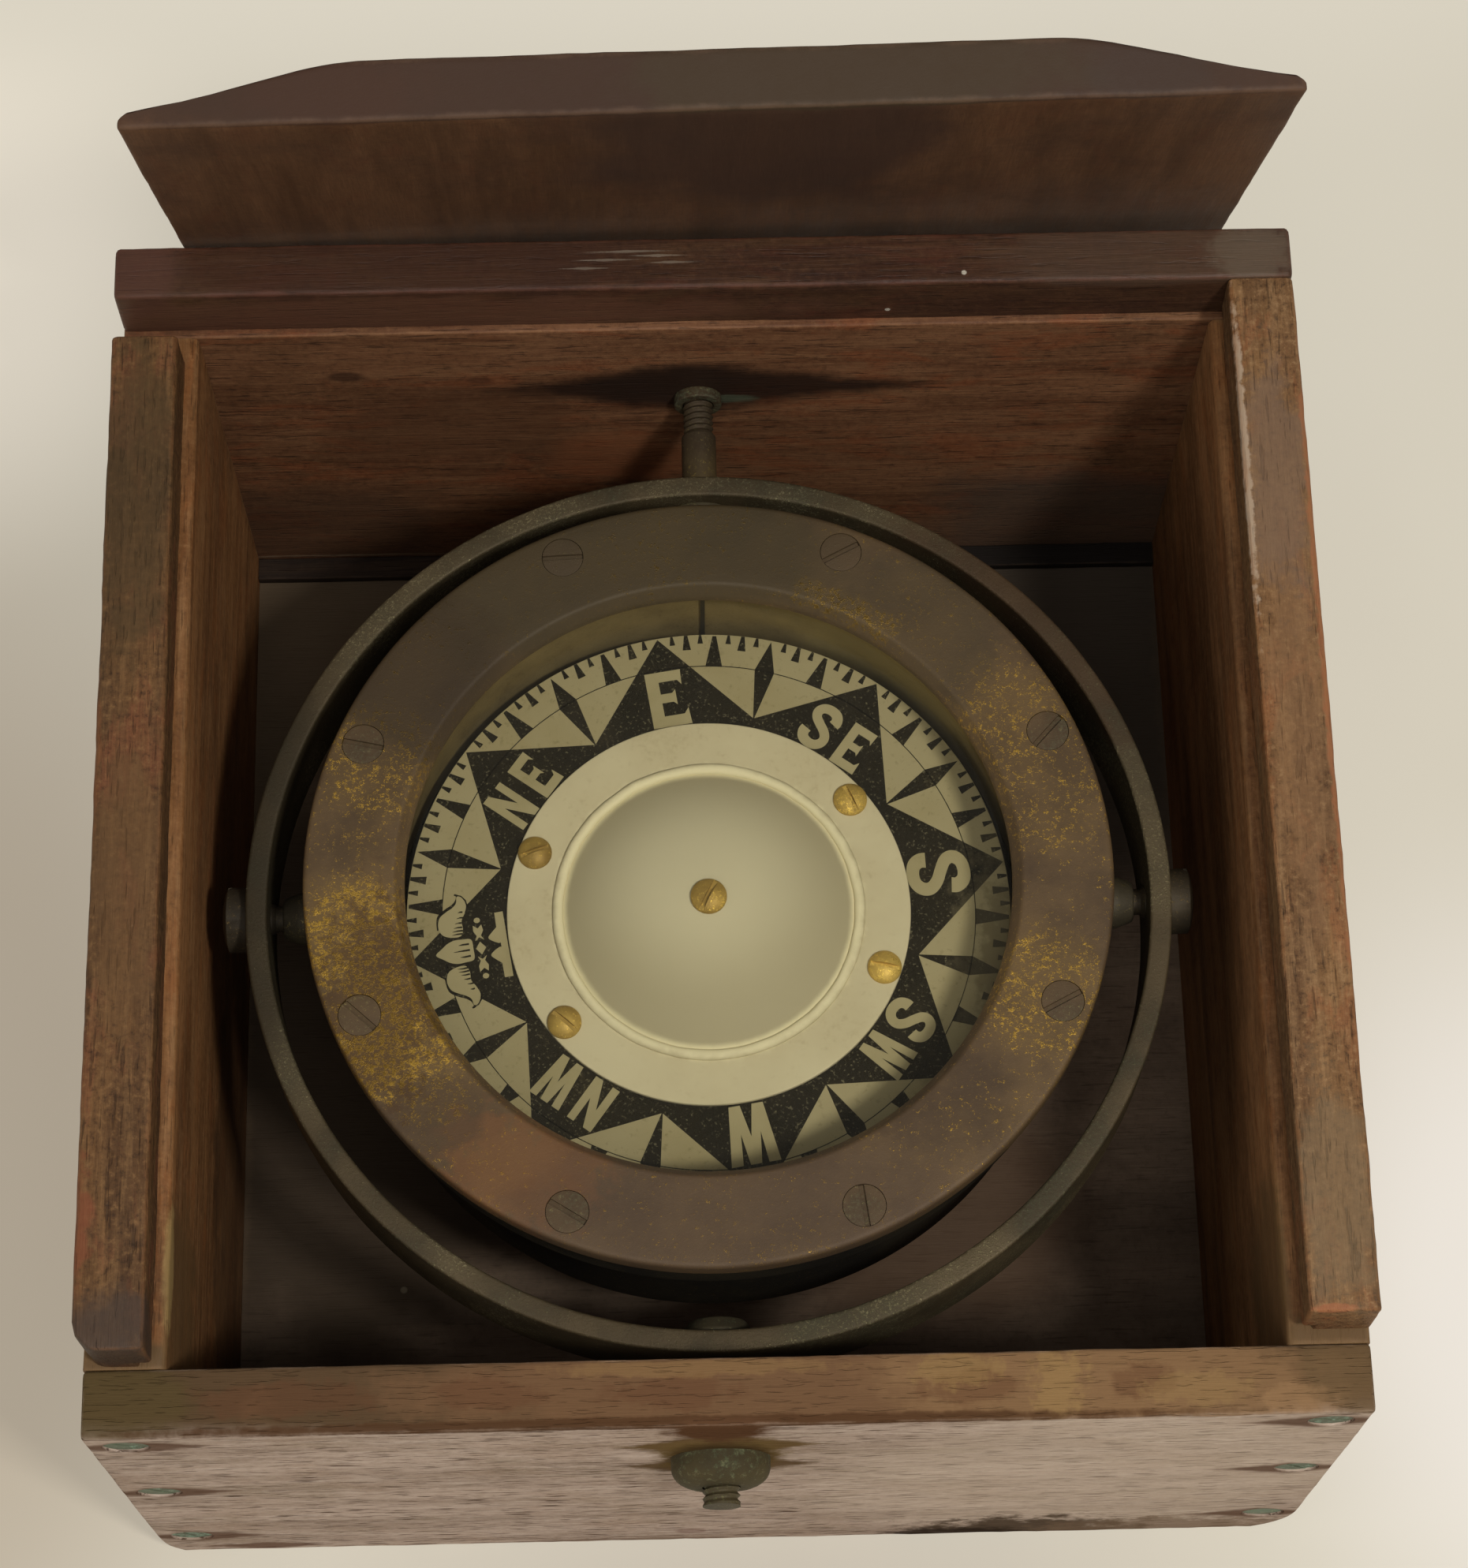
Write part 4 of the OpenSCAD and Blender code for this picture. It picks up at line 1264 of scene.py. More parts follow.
        finish = OldWood(
            "rail_wood", "321e15", "45301f", "543926", Grain.X,
            (0, self.rear - self.rail_d / 2, base + self.cleat_h / 2),
            (outer, self.rail_d / 2, self.cleat_h / 2), rubbed="5d382b",
            rub_width=0.7, rub_strength=0.4, pores=0.4, dusty=0.4, mottle="342118",
            mottled=0.6, patch="4a281c", patched=0.5, roughness=0.5,
            stains=(Stain((-50, 86, top), (46, 9, 3), "362118", 0.6, 0.5, 0.05),
                    Stain((66, 86, top), (30, 9, 3), "4a392d", 0.5, 0.5, 0.05),
                    Stain((84, 86, top), (8, 7, 2), "5f5243", 0.5, 0.6, 0.3),
                    # Painted light: the rail's shaded front face is lighter over its left and
                    # middle.
                    Stain((-60, 81.9, 94), (90, 1.2, 7), "56392a", 0.6, 0.4),
                    Stain((-86, 86, 100), (7, 8, 8), "4b3026", 0.6),
                    *(Stain((x, y, top), (reach, 0.32, 0.6), "7d7264", 0.45, 0.35, 1.2, True)
                      for x, y, reach in ((-12, 88.3, 9), (-7, 87.5, 6), (-15, 86.9, 7),
                                          (-5, 86.3, 5), (-18, 85.5, 5))),
                    Stain((39.7, 83.6, top), (0.5, 0.5, 0.5), "b0a898", 0.9, 0.2),
                    Stain((28.3, 81.9, base + 3), (0.5, 0.5, 0.5), "b0a898", 0.9, 0.2)))
        show("lid_rail", rail.mesh(), self.body, finish, ["rear_rail"])

    def _cleat_stains(self, side: int, top: float) -> tuple[Stain, ...]:
        """Knocked, rubbed and greyed patches on a cleat."""
        rim = side * self.box_w / 2
        if side < 0:
            return (Stain((rim, -62, top - 3), (3, 11, 9), "6f3f28", 0.75, 0.8, 0.3),
                    Stain((rim, 8, top - 3), (1.4, 16, 6), "6e4529", 0.6, 0.8, 0.3),
                    Stain((rim + 5, -78, top - 3), (9, 8, 9), "40332a", 0.85, 0.5),
                    Stain((rim + 4, 50, top), (7, 34, 3), "44341f", 0.7, 0.7),
                    Stain((rim + 5, -12, top), (6, 30, 3), "5c4228", 0.6, 0.8))
        return (Stain((rim - 5, 10, top), (5, 40, 2), "7c5c3e", 0.5, 0.9, 0.25),
                Stain((rim - 5, 48, top), (6, 24, 2), "6c5644", 0.7, 0.8, 0.2),
                Stain((rim - 5, -62, top), (7, 20, 2), "6d5a42", 0.6, 0.9, 0.2),
                Stain((rim - 7, -78.4, top), (4, 0.8, 1.2), "96583a", 0.5, 0.8, 0.5),
                Stain((rim - 9.6, 52, top), (0.9, 30, 1.4), "a8937c", 0.7, 0.9, 0.6),
                Stain((rim, 20, top), (1.2, 60, 2), "8e5a3a", 0.7, 0.9, 0.4))

    def screws(self) -> None:
        """Builds the twelve wood screws, a little below the wood's face."""
        form, shank_r = Form(), self.wood_screw_shank
        sunk = Matrix.Translation((0, 0, 0.85)) @ Matrix.Rotation(math.pi, 4, "X")
        shank = Form.spun([(0, 0.4), (self.wood_screw_head, 0.4), (shank_r, 2.6),
                           (shank_r, self.wood_screw_len - 2), (0, self.wood_screw_len)], 32)
        for y, rear, seed in ((self.front, True, 5), (self.rear, False, 9)):
            draw = random.Random(seed)
            for spot in self._screw_places(y):
                head = Form.slotted_head(self.wood_screw_head, 0.5, 0.08, (0.9, 0.5),
                                         draw.uniform(0, 180))
                form += (head.moved(sunk) + shank).moved(along_y(spot, rear))
        finish = AgedBrass("wall_screws_verdigris", "8a8a6a", "66705c",
                           "4a4a38", bare=0.3, green="86a08a", damp=0.7)
        show("wood_screws", form.mesh(), self.body, finish,
             ["wall_screws"])

    def build(self, frame: dict) -> None:
        """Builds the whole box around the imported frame."""
        self.walls()
        self.floor()
        self.cleats()
        self.screws()
        dress(frame, "cleat_dowels", OldWood(
            "dowel_wood", "8a6a44", "9c7b52", "b39468", Grain.Z, (0, 0, 90), (90, 90, 7),
            rub_strength=0.0))
        dress(frame, "floor_pins", AgedBrass("floor_pins_brass", damp=0.4))


@dataclass
class SlidingLid:
    """The drawn lid, which leans behind the box with its raised field to the rear."""

    lid_l: float = 172.0
    lid_w: float = 162.0
    lid_t: float = 8.6
    lid_edge: float = 1.4
    lid_bevel: float = 29.5
    lid_lean: float = 16.0
    lid_turn: float = 1.0
    lid_x: float = 0.5
    gap: float = 0.35

    def stand(self, box: WoodenBox) -> Matrix:
        """Where the lid stands.

        Args:
            box: the box it leans on.

        Returns:
            The matrix from the lid's own axes, in metres.
        """
        lean, turn = math.radians(self.lid_lean), math.radians(self.lid_turn)
        y = (box.rear + (box.wall_top + box.cleat_h) * math.tan(lean) + self.gap
             + box.box_w / 2 * math.sin(turn))
        move = Matrix.Translation(Vector((self.lid_x, y, 0)) * MM)
        return move @ Matrix.Rotation(turn, 4, "Z") @ Matrix.Rotation(lean, 4, "X")

    def build(self, box: WoodenBox) -> None:
        """Builds the lid against the box's rail."""
        half = self.lid_w / 2
        section = rounded([(-half, 0, 0.5), (half, 0, 0.5), (half, self.lid_edge, 0.6),
                           (half - self.lid_bevel, self.lid_t, 5.0),
                           (self.lid_bevel - half, self.lid_t, 5.0),
                           (-half, self.lid_edge, 0.6)], 1.0, 6)
        form = Form.bar(divided(section, 2.5), self.lid_l, 0.6, 3.0, knocks(0.18, 31))
        finish = OldWood(
            "lid_wood", "48301f", "5c3f2a", "6c4b30", Grain.Z,
            (0, self.lid_t / 2, self.lid_l / 2), (half, self.lid_t / 2, self.lid_l / 2),
            rubbed="6a5240", rub_width=0.9, rub_strength=0.3, pores=0.1, streaky=0.25,
            mottle="3f2a1e", mottled=0.6, patch="52301f", patched=0.35, roughness=0.62,
            relief=0.05,
            stains=(Stain((6, 0, self.lid_l), (34, 9, 70), "392821", 0.75, 0.6, 0.03),
                    Stain((0, 4, self.lid_l), (120, 12, 1.6), "3a291f", 0.97, 0.1, 0.2),
                    Stain((-52, 4, self.lid_l), (16, 9, 2.5), "3f2a1f", 0.6, 0.6),
                    Stain((20, 4, self.lid_l), (40, 9, 2.5), "3c3122", 0.6, 0.7, 0.06),
                    Stain((60, 4, self.lid_l), (10, 9, 2.5), "3a2e27", 0.5, 0.5)))
        show("lid_board", form.mesh(), "lid", finish, ["lid_panel"],
             matrix=self.stand(box))


@dataclass
class PivotScrews:
    """The two screws that carry the gimbal ring in the box, with their nuts."""

    ring_r: float = 69.8
    ring_t: float = 3.3
    bush_proud: float = 2.8
    pin_r: float = 2.0
    rod_plain: float = 2.75
    rod_thread: float = 2.4
    front_collar: float = 4.0
    front_stub: float = 7.0
    rear_stub: float = 5.2
    nut_r: float = 7.2
    nut_rim: float = 1.5
    nut_neck: float = 3.4
    nut_t: float = 4.3
    lock_nut_r: float = 3.8
    lock_nut_t: float = 1.8
    bore_gap: float = 0.05

    def _green(self, name: str, damp: float) -> AgedBrass:
        """Brown-green brass of the rear fittings."""
        return AgedBrass(name, "7d6a38", "4d4029", "35291b", bare=0.35,
                         green="56604a", damp=damp, fleck=1.6)

    def _screw(self, plain: Sequence[tuple[float, float, float]], from_y: float, to_y: float,
               radius: float) -> Form:
        """A pivot screw along Y.

        Args:
            plain: its smooth lengths, as start, end and radius.
            from_y: start of the thread.
            to_y: end of the thread.
            radius: radius over the thread.

        Returns:
            The screw, on the ring's axis.
        """
        form = Form()
        for start, end, r in plain:
            edge = min(0.4, (end - start) * 0.3)
            profile = rounded([(0, start, 0.0), (r, start), (r, end), (0, end, 0.0)], edge)
            form += Form.spun(profile, 48)
        thread = Form.threaded(radius, 0.42, 1.05, to_y - from_y)
        form += thread.moved(Matrix.Translation((0, 0, from_y)))
        return form.moved(along_y(HUB.at(y=-HUB.y)))

    def build(self, box: WoodenBox) -> None:
        """Builds both screws and their nuts."""
        front, rear = HUB.y - self.ring_r, HUB.y + self.ring_r
        form = self._screw([(box.front_in, front - 0.5, self.front_collar),
                            (front - 0.5, front + self.ring_t + self.bush_proud - 0.4, self.pin_r),
                            (box.front - 1.5, box.front_in, self.rod_plain)],
                           box.front - self.front_stub, box.front + 1, self.rod_plain)
        dull = AgedBrass("front_screw_brass", "6a5c38", "463d28", "30291b",
                         bare=0.3, green="4c5a42", damp=0.5, fleck=1.6, film=0.1, shine=0.5)
        show("front_screw", form.mesh(), box.body, dull,
             ["front_pivot_screw"])
        form = self._screw([(rear - self.ring_t - self.bush_proud + 0.4, rear + 0.5, self.pin_r),
                            (rear + 0.5, rear + 10.5, self.rod_plain)],
                           rear + 10.3, box.rear + self.rear_stub, self.rod_thread)
        show("rear_screw", form.mesh(), box.body,
             self._green("rear_screw_brass", 0.05), ["rear_pivot_screw"])
        dome = arc((self.nut_neck, self.nut_rim),
                   (self.nut_r - self.nut_neck, self.nut_t - self.nut_rim), 0, 90, 10)
        for name, y, rear_side, rod in (("front", box.front, False, self.rod_plain),
                                        ("rear", box.rear, True, self.rod_thread)):
            bore = rod + self.bore_gap
            nut = Form.spun([(bore, 0), (self.nut_r, 0), *dome, (bore, self.nut_t)], 72)
            nut = nut.warped(knocks(0.12, 2, 3.0)).moved(along_y((HUB.x, y, HUB.z), rear_side))
            finish = AgedBrass(f"{name}_nut_brass", "5c5136", "41381f", "2f2717",
                               bare=0.3, green="525c42", damp=0.5, fleck=0.9, film=0.05,
                               shine=0.15, dull=0.8, polish=0.7, relief=0.1)
            show(f"{name}_nut", nut.mesh(), box.body, finish,
                 [f"{name}_pivot_nut"])
        bore = self.rod_thread + self.bore_gap
        profile = rounded([(bore, 0), (self.lock_nut_r, 0), (self.lock_nut_r, self.lock_nut_t),
                           (bore, self.lock_nut_t)], 0.25)
        lock = Form.spun(profile, 48).moved(along_y((HUB.x, box.rear_in, HUB.z), rear=False))
        show("lock_nut", lock.mesh(), box.body,
             self._green("lock_nut_brass", 0.35), ["rear_lock_nut"])


@dataclass
class GimbalRing:
    """The ring between box and bowl, with its bushes and the bowl's two screws."""

    ring_r: float = 69.8
    ring_t: float = 3.3
    ring_h: float = 15.0
    pin_r: float = 2.0
    bush_r: float = 5.5
    bush_proud: float = 2.8
    bush_shank: float = 3.2
    bowl_screw_head: float = 5.0
    bowl_screw_head_t: float = 4.1
    bowl_screw_thread: float = 2.5
    trunnion_end: float = 64.6
    body: str = "gimbal"

    def build(self) -> None:
        """Builds the ring and what is fixed to it."""
        inner, half = self.ring_r - self.ring_t, self.ring_h / 2
        profile = rounded([(inner, -half), (self.ring_r, -half), (self.ring_r, half),
                           (inner, half)], 0.55)
        ring = Form.spun(profile, 288).warped(knocks(0.07, 41, 14.0))
        finish = AgedBrass(
            "gimbal_ring_brass", "8c8060", "4c402c", "382f20", bare=0.6,
            fleck=2.0, dull=0.55, polish=0.42, film=0.4, relief=0.12, green="4b503a", damp=0.25,
            stains=(Stain(HUB.at(-68, 6, half), (14, 46, 9), "2c2518", 0.6, 0.5),
                    Stain(HUB.at(52, 46, half), (26, 30, 9), "46301f", 0.5, 0.6, 0.1)))
        show("ring_band", ring.moved(HUB.matrix()).mesh(), self.body,
             finish, ["gimbal_ring"])
        fitting = AgedBrass("ring_fittings_brass", "7a6c40", "473f2d",
                            "2d281d", bare=0.3, green="56654e", damp=0.25, fleck=1.6)
        bore, tip, seat, end = (self.pin_r + 0.06, inner - self.bush_proud, inner - 0.25,
                                self.ring_r - 0.4)
        boss = rounded([(bore, tip), (self.bush_r - 1.5, tip, 0.5), (self.bush_r, inner - 0.8, 0.4),
                        (self.bush_r, seat, 0.1), (self.bush_shank, seat, 0.0),
                        (self.bush_shank, end, 0.2), (bore, end)], 0.1)
        bushes = Form()
        for rear in (False, True):
            bushes += Form.spun(boss, 64).moved(along_y(HUB.at(), rear))
        show("ring_bosses", bushes.mesh(), self.body, fitting,
             ["ring_bushes"])
        screws, tip, thread_r = Form(), self.trunnion_end - 4.2, self.bowl_screw_thread
        shank = Form.spun([(0, tip), (self.pin_r, tip), (self.pin_r, inner - 0.8),
                           (thread_r, inner - 0.2), (thread_r, self.ring_r), (0, self.ring_r)], 48)
        for right, turn in ((False, -35), (True, 35)):
            head = Form.slotted_head(self.bowl_screw_head, self.bowl_screw_head_t - 1.0, 1.0,
                                     (1.2, 1.5), turn)
            head = head.moved(Matrix.Translation((0, 0, self.ring_r)))
            screws += (shank + head).moved(along_x(HUB.at(), right))
        show("bowl_screws", screws.mesh(), self.body,
             AgedBrass("bowl_screws_brass", "6c5a38", "3d3425", "272118",
                       bare=0.25, fleck=1.5), ["bowl_pivot_screws"])


@dataclass
class CompassBowl:
    """The bowl with its bezel, glass, inner wall, pivot, expansion chamber and ballast."""

    bezel_r: float = 60.1
    bezel_bore: float = 45.2
    bezel_t: float = 3.5
    rim_top: float = 14.5
    drum_r: float = 55.5
    bezel_pcd: float = 55.6
    bezel_screw_head: float = 3.1
    bezel_screw_shank: float = 1.5
    bezel_slots: tuple[float, ...] = (25, -40, 70, 10, -65, 80, -15, 50)
    rim_foot: float = 4.5
    drum_wall: float = 2.2
    drum_foot: float = -22.0
    shoulder: float = 9.5
    rebate_r: float = 51.3
    ledge_r: float = 48.9
    glass_t: float = 3.0
    passage_pcd: float = 22.0
    passage_r: float = 5.0
    trunnion_r: float = 4.0
    trunnion_end: float = 64.6
    pin_r: float = 2.0
    body: str = "bowl"

    def shell(self) -> None:
        """Builds the drum, pierced by the passages to the diaphragm, and its two bosses."""
        seat, rim_r = self.rim_top - self.glass_t - 1, self.bezel_r - 1.1
        bottom, lift = self.drum_foot - self.shoulder, self.drum_wall
        centre, bend = (self.drum_r - self.shoulder, self.drum_foot), self.shoulder - lift
        outer = [(r, z, 0.0) for r, z in arc(centre, (self.shoulder, -self.shoulder), 0, 90, 10)]
        inner = [(r, z, 0.0) for r, z in arc(centre, (bend, -bend), 90, 0, 10)]
        profile = rounded(
            [(self.rebate_r, self.rim_top, 0.2), (rim_r, self.rim_top, 0.4),
             (rim_r, self.rim_foot + 1, 0.5), (rim_r - 1, self.rim_foot, 0.4),
             (self.drum_r, self.rim_foot - 0.5, 0.3), *outer, (0, bottom, 0),
             (0, bottom + lift, 0), *inner, (self.drum_r - lift, self.rim_foot - 1, 0),
             (self.ledge_r, self.rim_foot + 2, 0), (self.ledge_r, seat, 0.2),
             (self.rebate_r, seat, 0.1)], 0.2)
        drum = Form.spun(profile, 192).moved(HUB.matrix())
        passage = Form.rod(self.passage_r, bottom - 1, bottom + 4, 32)
        passages = [passage.moved(HUB.matrix(self.passage_pcd, 0, 0, 60 * k)) for k in range(6)]
        finish = AgedBrass("bowl_brass", "4f4428", "2b261c", "1b1813",
                           bare=0.2, dull=0.6)
        show("bowl_drum", drum.mesh(passages), self.body, finish,
             ["bowl_shell"])
        wall_in, bore, end = self.drum_r - self.drum_wall, self.pin_r + 0.05, self.trunnion_end
        profile = rounded([(bore, wall_in, 0), (self.trunnion_r + 1, wall_in + 0.2, 0),
                           (self.trunnion_r, end - 6.6, 0.5), (self.trunnion_r, end - 2.6, 0.5),
                           (self.trunnion_r - 1.0, end, 0.5), (bore, end, 0)], 0.3)
        boss, bosses = Form.spun(profile, 48), Form()
        for right in (False, True):
            bosses += boss.moved(along_x(HUB.at(), right))
        show("bowl_bosses", bosses.mesh(), self.body,
             AgedBrass("bowl_bosses_brass", "6c5f3c", "3c3526", "26211a",
                       bare=0.3), ["bowl_trunnions"])

    def bezel(self) -> None:
        """Builds the bezel with its countersinks, and the eight screws in them."""
        top = self.rim_top + self.bezel_t
        profile = rounded([(self.bezel_bore, self.rim_top, 0.2), (self.bezel_r, self.rim_top, 0.3),
                           (self.bezel_r, top, 0.9), (self.bezel_bore + 1.3, top, 0.5),
                           (self.bezel_bore, top - 2.2, 0.5)], 0.3)
        profile = divided(profile, 2.2)
        ring = Form.spun(profile, 240).warped(knocks(0.05, 51, 16.0)).moved(HUB.matrix())
        floor, mouth = top - 0.75, self.bezel_screw_head + 0.12
        hole = Form.spun([(0, floor), (mouth - 0.05, floor), (mouth, top + 1), (0, top + 1)], 40)
        turns = [22.5 + 45 * k for k in range(len(self.bezel_slots))]
        holes = [hole.moved(HUB.matrix(self.bezel_pcd, 0, 0, turn)) for turn in turns]
        gold, middle_r, lip_r = "a98536", 52.5, 47.4
        bright = [Stain(HUB.around(middle_r, turn, top), (reach, reach, 8), gold, strength, 0.45,
                        0.09)
                  for turn, reach, strength in ((207, 14, 0.9), (190, 13, 0.8), (219, 8, 0.5),
                                                (27, 13, 0.4), (12, 12, 0.3), (338, 12, 0.5),
                                                (160, 12, 0.45), (52, 9, 0.2))]
        bright += [Stain(HUB.around(lip_r, turn, top), (3.4, 3.4, 4), gold, 0.7, 0.5, 0.3)
                   for turn in (70, 65, 60, 55)]
        finish = AgedBrass(
            "bezel_brass", gold, "58452d", "433424", bare=0.25, fleck=1.3,
            polish=0.36, film=0.2, haze=0.13, bright=tuple(bright),
            # Painted shade: the first two patches darken the bezel's rear, standing in for its
            # darker reflections there.
            stains=(Stain(HUB.at(-14, 50, top), (46, 27, 6), "3a311f", 0.8, 0.3, 0.05),
                    Stain(HUB.at(-43, 32, top), (17, 18, 6), "352a1b", 0.8, 0.4),
                    Stain(HUB.at(32, 40, top), (20, 18, 6), "413624", 0.6, 0.5, 0.1),
                    Stain(HUB.at(-28, -45, top), (15, 12, 6), "6a4426", 0.5, 0.9, 0.3),
                    Stain(HUB.at(-40, -36, top), (9, 8, 6), "453524", 0.6, 0.8, 0.2),
                    Stain(HUB.at(-49, -20, top), (11, 20, 6), "3f2a17", 0.55, 1.0, 0.45),
                    Stain(HUB.at(6, -53, top), (44, 15, 6), "4b3b2c", 0.5, 0.5, 0.1),
                    # Painted shade: this patch darkens the bezel's inner edge and bevel.
                    Stain(HUB.at(), (47.2, 47.2, 30), "2f2619", 0.8, 0.04, 0.3, solid=0.965)))
        show("bezel_worn", ring.mesh(holes), self.body, finish,
             ["bezel_ring"])
        screws, shank = Form(), Form.rod(self.bezel_screw_shank, -8, 0.1)
        for slot, turn in zip(self.bezel_slots, turns):
            head = Form.slotted_head(self.bezel_screw_head, 0.62, 0.10, (0.85, 0.55), slot)
            screws += (head + shank).moved(HUB.matrix(self.bezel_pcd, 0, floor + 0.03, turn))
        finish = AgedBrass("bezel_screws_brass", "7c6a40", "52402a", "3c2e1c",
                           bare=0.4, fleck=1.6, damp=0.2, green="5c6048", film=0.05, shine=0.5,
                           # Painted shade: the screws at the bezel's rear are darker, as the bezel
                           # is there.
                           stains=(Stain(HUB.at(-14, 50, top), (46, 27, 6), "352c1d", 0.7, 0.3),))
        show("bezel_heads", screws.mesh(), self.body, finish,
             ["bezel_screws"])

    def build(self, frame: dict) -> None:
        """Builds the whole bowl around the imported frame."""
        self.shell()
        self.bezel()
        dress(frame, "cover_glass", ClearGlass())
        dress(frame, "glass_gasket", Painted("gasket_rubber", "171614", "23211d",
                                             roughness=0.8))
        # The lighter patch on the well's upper right is a painted pool of light.
        dress(frame, "card_well", Painted(
            "well_paint_olive", "766643", "665738", dirt="443922", dirty=0.5, size=0.12,
            roughness=0.55, speck="3a2f1c", specks=0.35, stains=(
                Stain(HUB.at(30, 38, 6), (26, 22, 16), "948355", 0.7, 0.4, 0.1),)))
        dress(frame, "lubber_line", Painted("lubber_paint", "1d1a14", "2a251c"))
        for node, name in (("pivot_post", "post_brass"), ("diaphragm", "diaphragm_brass")):
            dress(frame, node, AgedBrass(name, "b08f4a", "94783f", "7d6535",
                                         bare=0.6, film=0.8))
        dress(frame, "pivot_pin", Painted("pin_steel", "9a9ca0", "85878b", metallic=1.0,
                                          roughness=0.25))
        for node, name in (("filler_plug", "plug_brass"), ("bottom_screws", "cover_screws_brass"),
                           ("ballast_screws", "ballast_screws_brass")):
            dress(frame, node, AgedBrass(name, "8f7a42", "5c4f34", "3d3424",
                                         bare=0.4))
        dress(frame, "bottom_cover", AgedBrass("bottom_cover_brass", "6d5c34",
                                               "3c3325", "282218",
                                               bare=0.3))
        dress(frame, "ballast_weight", Painted("ballast_lead", "5d5f61", "4a4b4c", dirt="8b8c8a",
                                               dirty=0.4, metallic=0.5, roughness=0.6,
                                               relief=0.15))


class Letter(Enum):
    """Block letters of the card, 9.3 mm high, from the middle of their foot, tops outward.

    E, N and W are given as outlines, and S as the middle line of its stroke.
    """

    E = ((-3.05, 0), (3.0, 0), (2.85, 2.75), (2.1, 1.8), (-1.05, 1.8), (-1.05, 4.05),
         (0.75, 4.05), (1.3, 3.5), (1.3, 6.1), (0.75, 5.55), (-1.05, 5.55), (-1.05, 7.6),
         (1.85, 7.6), (2.45, 6.75), (2.6, 9.3), (-3.05, 9.3))
    N = ((-3.0, 0), (-1.25, 0), (-1.25, 5.4), (1.2, 0), (3.0, 0), (3.0, 9.3), (1.3, 9.3),
         (1.3, 4.0), (-1.1, 9.3), (-3.0, 9.3))
    W = ((-3.75, 9.3), (-1.95, 9.3), (-1.5, 4.4), (-0.85, 9.3), (0.85, 9.3), (1.5, 4.4),
         (1.95, 9.3), (3.75, 9.3), (2.6, 0), (0.9, 0), (0, 5.0), (-0.9, 0), (-2.6, 0))
    S = ((2.0, 6.3), (2.1, 7.2), (1.45, 8.25), (0.1, 8.6), (-1.25, 8.25), (-1.95, 7.2),
         (-1.6, 6.05), (-0.3, 5.1), (1.1, 4.25), (2.0, 3.1), (1.9, 1.85), (1.0, 0.95),
         (-0.3, 0.75), (-1.55, 1.2), (-2.1, 2.2), (-2.05, 3.1))

    def outline(self) -> list[Flat]:
        """The letter's outline; the stroke of S is thinnest at its middle."""
        if self is not Letter.S:
            return list(self.value)
        line = smoothed(self.value, 5)
        last = len(line) - 1
        widths = [2.15 - 0.35 * math.sin(math.pi * k / last) for k in range(last + 1)]
        return ribbon(line, widths)


